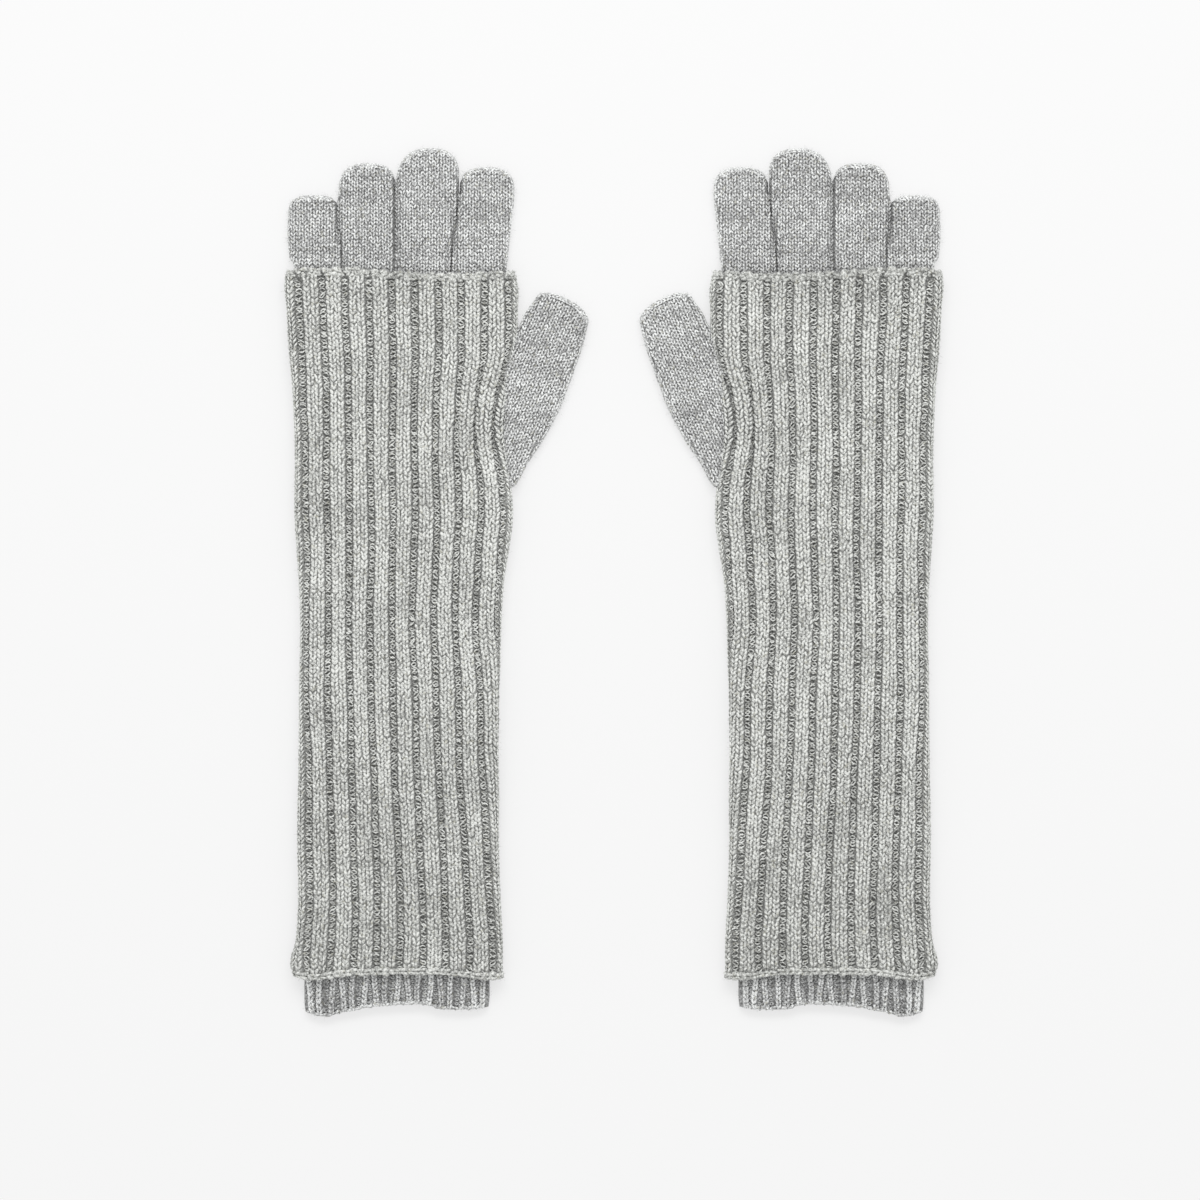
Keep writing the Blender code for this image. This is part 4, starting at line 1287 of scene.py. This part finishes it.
def volume(cloth):
    """The signed volume inside a cloth's faces, times six."""
    total = 0.0
    for face in cloth.faces:
        corners = cloth.points[face]
        for k in range(1, face.shape[1] - 1):
            turned = np.cross(corners[:, k], corners[:, k + 1])
            total += float((corners[:, 0] * turned).sum())
    return total


def under_rows(rows, inset, count):
    """The flat underside from the thumb's side to the other, row by row."""
    little, thumb = sides(rows)
    start, end = little + FOLD_REACH, thumb - FOLD_REACH
    walk = (end + FOLD_LENGTH)[:, None] + (end - start)[:, None] * np.linspace(0, 1, count)[None]
    return plain_point(rows[:, None] + 0 * walk, walk, inset)


def sleeve_cloth(knit):
    """The sleeve's wall: ribs over the top and side folds, and a flat underside."""
    per_rib, under_count = 10, 14
    inward = (0.0, 0.5, 1.4, 2.4, 3.3, 4.5)
    middle = np.arange(HEM_Y + 7, TOP_Y - 6, 3.2)
    rows = np.concatenate([np.add(HEM_Y, inward), middle, np.subtract(TOP_Y, inward[::-1])])
    edge = np.array([-0.9, 0.0, 0.25, 0.25, 0.0, 0.0])
    proud = np.concatenate([edge, 0 * middle, edge[::-1]])
    ribs = np.append(np.repeat(np.arange(FIRST_RIB, LAST_RIB), per_rib), LAST_RIB).astype(float)
    shares = np.append(np.tile(np.arange(per_rib) / per_rib, LAST_RIB - FIRST_RIB), 0.0)
    y, rib = np.meshgrid(rows, ribs, indexing="ij")
    share = shares[None] + 0 * y
    top = sleeve_point(rib, share, y, -0.3 + proud[:, None])
    outer = np.concatenate([top, under_rows(rows, 0.0, under_count)], 1)
    even = np.ones((len(rows), under_count))
    under_wale = np.linspace(3 * LAST_RIB + 1, 3 * LAST_RIB + 31, under_count) * even
    wale = np.concatenate([3 * (rib + share), under_wale], 1)
    counted = np.stack([wale, rows[:, None] / (knit.sleeve_course / MM) + 0 * wale], -1)
    # Painted shade: the wall darkens where the stitches cover it, more in the troughs, and more again in the
    # two closed creases beside the thumb.
    yarn_and_trough_shade = 1 - ease(0.55, 0.75, rib_walk(rib, share, y)[1])
    yarn_and_trough_shade = yarn_and_trough_shade * (1 + 0.8 * (1 - ease(0.05, 0.2, np.abs(share - np.rint(share)))))
    crease_shade = 0.35 * pressing(rib + np.rint(share), y)
    shade = np.concatenate([(1 - 0.18 * yarn_and_trough_shade) * (1 - crease_shade), even], 1)
    inner_rows = np.linspace(HEM_Y, TOP_Y, 16)
    inner_y = inner_rows[:, None] + 0 * ribs
    walk = rib_walk(ribs + 0 * inner_y, shares + 0 * inner_y, inner_y)[0]
    inner = [plain_point(inner_y, walk, SLEEVE_WALL), under_rows(inner_rows, SLEEVE_WALL, under_count)]
    return tube(outer, np.concatenate(inner, 1), counted, shade)


def hand_cloth(knit):
    """The hand and forearm of the inner glove, which the sleeve hides."""
    rows = np.array([CUFF_TOP_Y, *HAND_ROWS, FINGER_ROOT_Y - SEAM_GAP])[:, None]
    little, thumb = sides(rows)
    start, end = little + FOLD_REACH, thumb - FOLD_REACH
    turn = FOLD_LENGTH * np.array([0.2, 0.4, 0.6, 0.8])
    top = start + (end - start) * np.linspace(0, 1, 14)
    under = end + FOLD_LENGTH + (end - start) * np.linspace(0, 1, 12)
    walk = np.concatenate([start - turn[::-1], top, end + turn, under], 1)
    y = rows + 0 * walk
    rings = [plain_point(y, walk, inset) for inset in (GLOVE_INSET, GLOVE_INSET + GLOVE_WALL)]
    counted = np.stack([walk / (knit.fine_wale / MM), y / (knit.fine_course / MM)], -1)
    return tube(*rings, counted, np.ones_like(walk))


def touching(first, second, others):
    """Swells the ends of sections so that they meet the digits pressed against them."""
    across = unit(second - first)
    moved = []
    for end, way in ((first, -1), (second, 1)):
        gap = np.maximum(clearance(others, *end.T), 0)
        swell = 0.5 * gap * (1 - ease(0.9, 1.8, gap))
        moved.append(end + way * across * swell[:, None])
    return moved


def digit_cloth(knit, digit, others):
    """The wall of a finger or thumb, closed at its tip."""
    top_count = 25
    profile = np.linspace(-1, 1, top_count)
    across = np.sin(np.concatenate([profile, profile[::-1][1:-1]]) * math.pi / 2)
    on_top = np.arange(len(across)) < top_count
    rings = []
    for inset, step, sink in ((0.0, 0.16, 0.3), (GLOVE_WALL, 0.34, 0.0)):
        tip = digit.straight + np.linspace(0, 0.97, 9)
        first, second = digit.ends(np.concatenate([np.arange(0, digit.straight, step), tip]))
        half = np.linalg.norm(second - first, axis=-1) / 2
        narrow = np.clip(1 - inset / np.maximum(half, 0.1), 0.1, 1)
        if not inset:
            first, second = touching(first, second, others)
        middle, spread = (first + second) / 2, (second - first) / 2
        plan = middle[:, None] + spread[:, None] * (across[None, :, None] * narrow[:, None, None])
        u, y = plan[..., 0], plan[..., 1]
        top = digit.top(u, y, inset) - sink * ease(0, 2, digit.depth_inside(u, y))
        rings.append(np.stack([u, y, np.where(on_top[None], top, digit.under(u, y, inset))], -1))
    outer, inner = rings
    walk = travel(outer[len(outer) // 2])[None] / (knit.fine_wale / MM)
    along = travel(outer[:, top_count // 2])[:, None] / (knit.fine_course / MM)
    counted = np.stack([walk + 0 * along, along + 0 * walk], -1)
    plan = outer[..., 0], outer[..., 1]
    # Painted shade: the wall on top is dimmed to 0.8 under the stitches and darkens in the gaps beside
    # neighbouring digits, and painted shadow dims it under the sleeve's edge.
    clear_of_gap_shade = ease(0.8, 2.6, clearance(others, *plan))
    shade = np.where(on_top[None], 0.8 * sleeve_edge_shadow(beyond_sleeve(*plan)), 1.0) * (0.6 + 0.4 * clear_of_gap_shade)
    return tube(outer, inner, counted, shade, True)


def cuff_cloth(knit):
    """The cuff's wall."""
    rows = np.linspace(CUFF[0].y, CUFF[-1].y, 14)
    y, place = np.meshgrid(rows, np.linspace(-1, 1, CUFF_RIBS * 6 + 1), indexing="ij")
    under_y, under_place = np.meshgrid(rows, (0.94, 0.6, 0.2, -0.2, -0.6, -0.94), indexing="ij")
    inside_u, inside_y, inside_z = cuff_section(place, y, GLOVE_WALL)
    tops = (cuff_point(place, y, -0.2), np.stack([inside_u, inside_y, inside_z - 0.2], -1))
    rings = []
    for inset, top in zip((0.0, GLOVE_WALL), tops):
        u, low_y, _ = cuff_section(under_place, under_y, inset)
        rings.append(np.concatenate([top, np.stack([u, low_y, lift(u, low_y) + inset], -1)], 1))
    under_wale = np.linspace(2 * CUFF_RIBS + 1, 60, 6) + 0 * under_y
    wale = np.concatenate([(place + 1) * CUFF_RIBS, under_wale], 1)
    counted = np.stack([wale, rows[:, None] / (knit.sleeve_course / MM) + 0 * wale], -1)
    # Painted shade: the wall between the cuff's ribs is dimmed to 0.7, and the underside to 0.9.
    shade = np.concatenate([np.full(place.shape, 0.7), np.full(under_y.shape, 0.9)], 1)
    return tube(*rings, counted, shade)


def cut_open(piece, way, low_y, high_y, half_height):
    """Cuts a slot with round ends out of a piece's side, where the thumb comes through."""
    middle_z, turns = STACK_HEIGHT / 2, 6
    spots = []
    for centre, turn in ((high_y - half_height, 0.0), (low_y + half_height, math.pi)):
        for angle in turn + math.pi * np.arange(turns) / (turns - 1):
            spots.append((centre + half_height * math.sin(angle), middle_z + half_height * math.cos(angle)))
    points = []
    for u in (CUT_FROM, CUT_TO):
        points += [(way * (u - GLOVE_MIDDLE) * MM, y * MM, z * MM) for y, z in spots]
    count = len(spots)
    faces = [(i, (i + 1) % count, count + (i + 1) % count, count + i) for i in range(count)]
    faces += [tuple(range(count))[::-1], tuple(range(count, 2 * count))]
    cutter_mesh = bpy.data.meshes.new("slot")
    cutter_mesh.from_pydata(points, [], faces)
    cutter = bpy.data.objects.new("slot", cutter_mesh)
    bpy.context.scene.collection.objects.link(cutter)
    if way == -1:
        cutter_mesh.flip_normals()
    boolean = piece.modifiers.new("opening", "BOOLEAN")
    boolean.operation = "DIFFERENCE"
    boolean.solver = "EXACT"
    boolean.object = cutter
    graph = bpy.context.evaluated_depsgraph_get()
    opened = bpy.data.meshes.new_from_object(piece.evaluated_get(graph))
    piece.modifiers.clear()
    old = piece.data
    piece.data = opened
    bpy.data.meshes.remove(old)
    bpy.data.objects.remove(cutter)


# Settings

SENSOR_WIDTH = 36.0  # of the camera, in millimetres


def length_setting(name, description, default):
    """A size in metres."""
    return bpy.props.FloatProperty(name=name, description=description, default=default, unit="LENGTH")


def share_setting(name, description, default):
    """A number from 0 to 1."""
    return bpy.props.FloatProperty(name=name, description=description, default=default, min=0, max=1)


def strength_setting(name, description, default):
    """A number of 0 or more."""
    return bpy.props.FloatProperty(name=name, description=description, default=default, min=0)


def colour_setting(name, description, default):
    """A colour, as red, green and blue."""
    return bpy.props.FloatVectorProperty(
        name=name, description=description, default=default, subtype="COLOR"
    )


class GloveKnit(bpy.types.PropertyGroup):
    """Sizes of the knitting"""

    sleeve_course: length_setting("Sleeve course", "Height of one row of the sleeve", 0.00185)
    rib_yarn: length_setting("Rib yarn", "Thickness of the sleeve's yarn", 0.00145)
    fine_wale: length_setting("Fine wale", "Width of a stitch of the inner glove", 0.00235)
    fine_course: length_setting("Fine course", "Height of a stitch of the inner glove", 0.00155)
    fine_yarn: length_setting("Fine yarn", "Thickness of the inner glove's yarn", 0.00098)
    tone_spread: share_setting("Tone spread", "How much the stitches differ in tone", 0.06)
    trough_shade: share_setting("Trough shade", "Brightness between the ribs", 1.0)
    cuff_shade: share_setting("Cuff shade", "Brightness of the cuff", 1.0)


class GloveColours(bpy.types.PropertyGroup):
    """Colours of the yarn"""

    rib_dark: colour_setting("Rib dark", "The sleeve's dark fibres", (0.26, 0.264, 0.25))
    rib_light: colour_setting("Rib light", "The sleeve's light fibres", (0.725, 0.736, 0.708))
    fine_dark: colour_setting("Fine dark", "The inner glove's dark fibres", (0.25, 0.25, 0.25))
    fine_light: colour_setting("Fine light", "The inner glove's light fibres", (0.8, 0.812, 0.803))
    speck: colour_setting("Speck", "Warm specks in the yarn", (0.36, 0.35, 0.27))


class GloveStage(bpy.types.PropertyGroup):
    """Camera, floor and light"""

    camera_x: length_setting("Camera X", "Where the camera looks, across", -0.00588)
    camera_y: length_setting("Camera Y", "Where the camera looks, along", -0.00735)
    camera_height: length_setting("Camera height", "Height of the camera over the floor", 1.4)
    frame_width: length_setting("Frame width", "Width of floor that the camera sees", 0.504)
    sky: strength_setting("Sky", "Strength of the even light", 0.95)
    lamp: strength_setting("Lamp", "Power of the large lamp", 12.0)
    glow: strength_setting("Floor glow", "Light that the floor gives", 0.62)


# Operators


def dressed(context, part, wall, trims, kind):
    """Adds a part's wall and trims to both gloves, and yields (glove, way, wall, trims) for each."""
    made = finishes(context)
    for glove, way in GLOVES.items():
        node = f"{glove}_{part}"
        cloth = add_piece(context, f"{node}_cloth", wall, way, made[f"{kind}_cloth"], node)
        pieces = [
            add_piece(context, f"{glove}_{name}", trim, way, made[f"{kind}_yarn"])
            for name, trim in trims.items()
        ]
        yield glove, way, cloth, pieces


class GLOVES_OT_sleeves(bpy.types.Operator):
    """Makes the ribbed sleeves with their stitches and bound edges"""

    bl_idname = "gloves.sleeves"
    bl_label = "Sleeves"

    def execute(self, context):
        knit = context.scene.glove_knit
        wall = sleeve_cloth(knit)
        thumb_half, little_half = rib_stitches(knit)
        trims = {
            "rib_stitches_thumb_half": thumb_half,
            "rib_stitches_little_half": little_half,
            "trough_loops": trough_loops(knit),
            "sleeve_top_roll": top_roll(knit),
            "sleeve_hem_chain": hem_chain(knit),
            "sleeve_fuzz": sleeve_fuzz(),
        }
        for _, way, cloth, pieces in dressed(context, "sleeve", wall, trims, "ribbed"):
            cut_open(cloth, way, SLIT_LOW_Y, SLIT_TOP_Y, SLIT_HALF_HEIGHT)
            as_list(pieces)
        return {"FINISHED"}


class GLOVES_OT_hands(bpy.types.Operator):
    """Makes the hands and forearms of the inner gloves"""

    bl_idname = "gloves.hands"
    bl_label = "Hands"

    def execute(self, context):
        wall = hand_cloth(context.scene.glove_knit)
        for glove, way, cloth, _ in dressed(context, "hand", wall, {}, "fine"):
            cut_open(cloth, way, OPENING_LOW_Y, OPENING_TOP_Y, OPENING_HALF_HEIGHT)
        return {"FINISHED"}


class GLOVES_OT_digits(bpy.types.Operator):
    """Makes the fingers and thumbs with their fine stitches"""

    bl_idname = "gloves.digits"
    bl_label = "Fingers and thumbs"

    def execute(self, context):
        knit, digits = context.scene.glove_knit, make_digits()
        for i, digit in enumerate(digits):
            others = [other for other in digits if other is not digit]
            wall = digit_cloth(knit, digit, others)
            trims = {f"{digit.name}_stitches": digit_stitches(knit, digit, others, DIGIT_SEED + i)}
            for _, _, cloth, pieces in dressed(context, digit.name, wall, trims, "fine"):
                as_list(pieces)
        return {"FINISHED"}


class GLOVES_OT_cuffs(bpy.types.Operator):
    """Makes the narrow-ribbed cuffs with their stitches"""

    bl_idname = "gloves.cuffs"
    bl_label = "Cuffs"

    def execute(self, context):
        knit = context.scene.glove_knit
        wall, trims = cuff_cloth(knit), {"cuff_stitches": cuff_stitches(knit)}
        for _, _, cloth, pieces in dressed(context, "cuff", wall, trims, "fine"):
            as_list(pieces)
        return {"FINISHED"}


class GLOVES_OT_stage(bpy.types.Operator):
    """Makes the floor, the light and the camera"""

    bl_idname = "gloves.stage"
    bl_label = "Stage"

    def execute(self, context):
        stage, scene = context.scene.glove_stage, context.scene
        floor_mesh = bpy.data.meshes.new("floor")
        reach, drop = 3.0, -0.0002
        corners = [(-reach, -reach, drop), (reach, -reach, drop), (reach, reach, drop), (-reach, reach, drop)]
        floor_mesh.from_pydata(corners, [], [(0, 1, 2, 3)])
        floor = bpy.data.objects.new("floor", floor_mesh)
        scene.collection.objects.link(floor)
        pale, white = (0.247, 0.247, 0.247, 1), (1, 1, 1, 1)
        surface = Finish("floor").shade(
            Base_Color=pale,
            Roughness=0.9,
            Specular_IOR_Level=0.0,
            Emission_Color=white,
            Emission_Strength=stage.glow,
        )
        floor_mesh.materials.append(surface)
        floor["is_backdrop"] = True
        world = bpy.data.worlds.new("studio")
        world.use_nodes = True
        background = world.node_tree.nodes["Background"]
        background.inputs["Color"].default_value = white
        background.inputs["Strength"].default_value = stage.sky
        scene.world = world
        lamp_data = bpy.data.lights.new("large_lamp", "AREA")
        lamp_data.shape = "RECTANGLE"
        lamp_data.size, lamp_data.size_y = 1.4, 0.5
        lamp_data.energy = stage.lamp
        lamp = bpy.data.objects.new("large_lamp", lamp_data)
        lamp.location = (0, 0.95, 1.15)
        lamp.rotation_euler = (math.radians(-39), 0, 0)
        scene.collection.objects.link(lamp)
        camera_data = bpy.data.cameras.new("camera")
        camera_data.sensor_width = SENSOR_WIDTH
        camera_data.lens = SENSOR_WIDTH * stage.camera_height / stage.frame_width
        camera_data.clip_end = 20.0
        camera = bpy.data.objects.new("camera", camera_data)
        camera.location = (stage.camera_x, stage.camera_y, stage.camera_height)
        scene.collection.objects.link(camera)
        scene.camera = camera
        scene.view_settings.view_transform = "Standard"
        return {"FINISHED"}


OPERATORS = (GLOVES_OT_stage, GLOVES_OT_sleeves, GLOVES_OT_hands, GLOVES_OT_digits, GLOVES_OT_cuffs)
SETTINGS = {"glove_knit": GloveKnit, "glove_colours": GloveColours, "glove_stage": GloveStage}


class GLOVES_PT_panel(bpy.types.Panel):
    """The gloves' panel"""

    bl_idname = "GLOVES_PT_panel"
    bl_label = "Long Ribbed Gloves"
    bl_space_type = "VIEW_3D"
    bl_region_type = "UI"
    bl_category = "Gloves"

    def draw(self, context):
        for group in SETTINGS:
            box = self.layout.box()
            settings = getattr(context.scene, group)
            for name in settings.__annotations__:
                box.prop(settings, name)
        for operator in OPERATORS:
            self.layout.operator(operator.bl_idname)


def register():
    for group in (*SETTINGS.values(), *OPERATORS, GLOVES_PT_panel):
        bpy.utils.register_class(group)
    for name, group in SETTINGS.items():
        setattr(bpy.types.Scene, name, bpy.props.PointerProperty(type=group))


def unregister():
    for name in SETTINGS:
        delattr(bpy.types.Scene, name)
    for group in (GLOVES_PT_panel, *reversed(OPERATORS), *SETTINGS.values()):
        bpy.utils.unregister_class(group)


def main():
    register()
    bpy.ops.gloves.stage()
    bpy.ops.gloves.sleeves()
    bpy.ops.gloves.hands()
    bpy.ops.gloves.digits()
    bpy.ops.gloves.cuffs()
    boxes = {"cad": CAD_BOX, "visual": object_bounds()}
    {name: [list(corner) for corner in box] for name, box in boxes.items()}


if __name__ == "__main__":
    main()
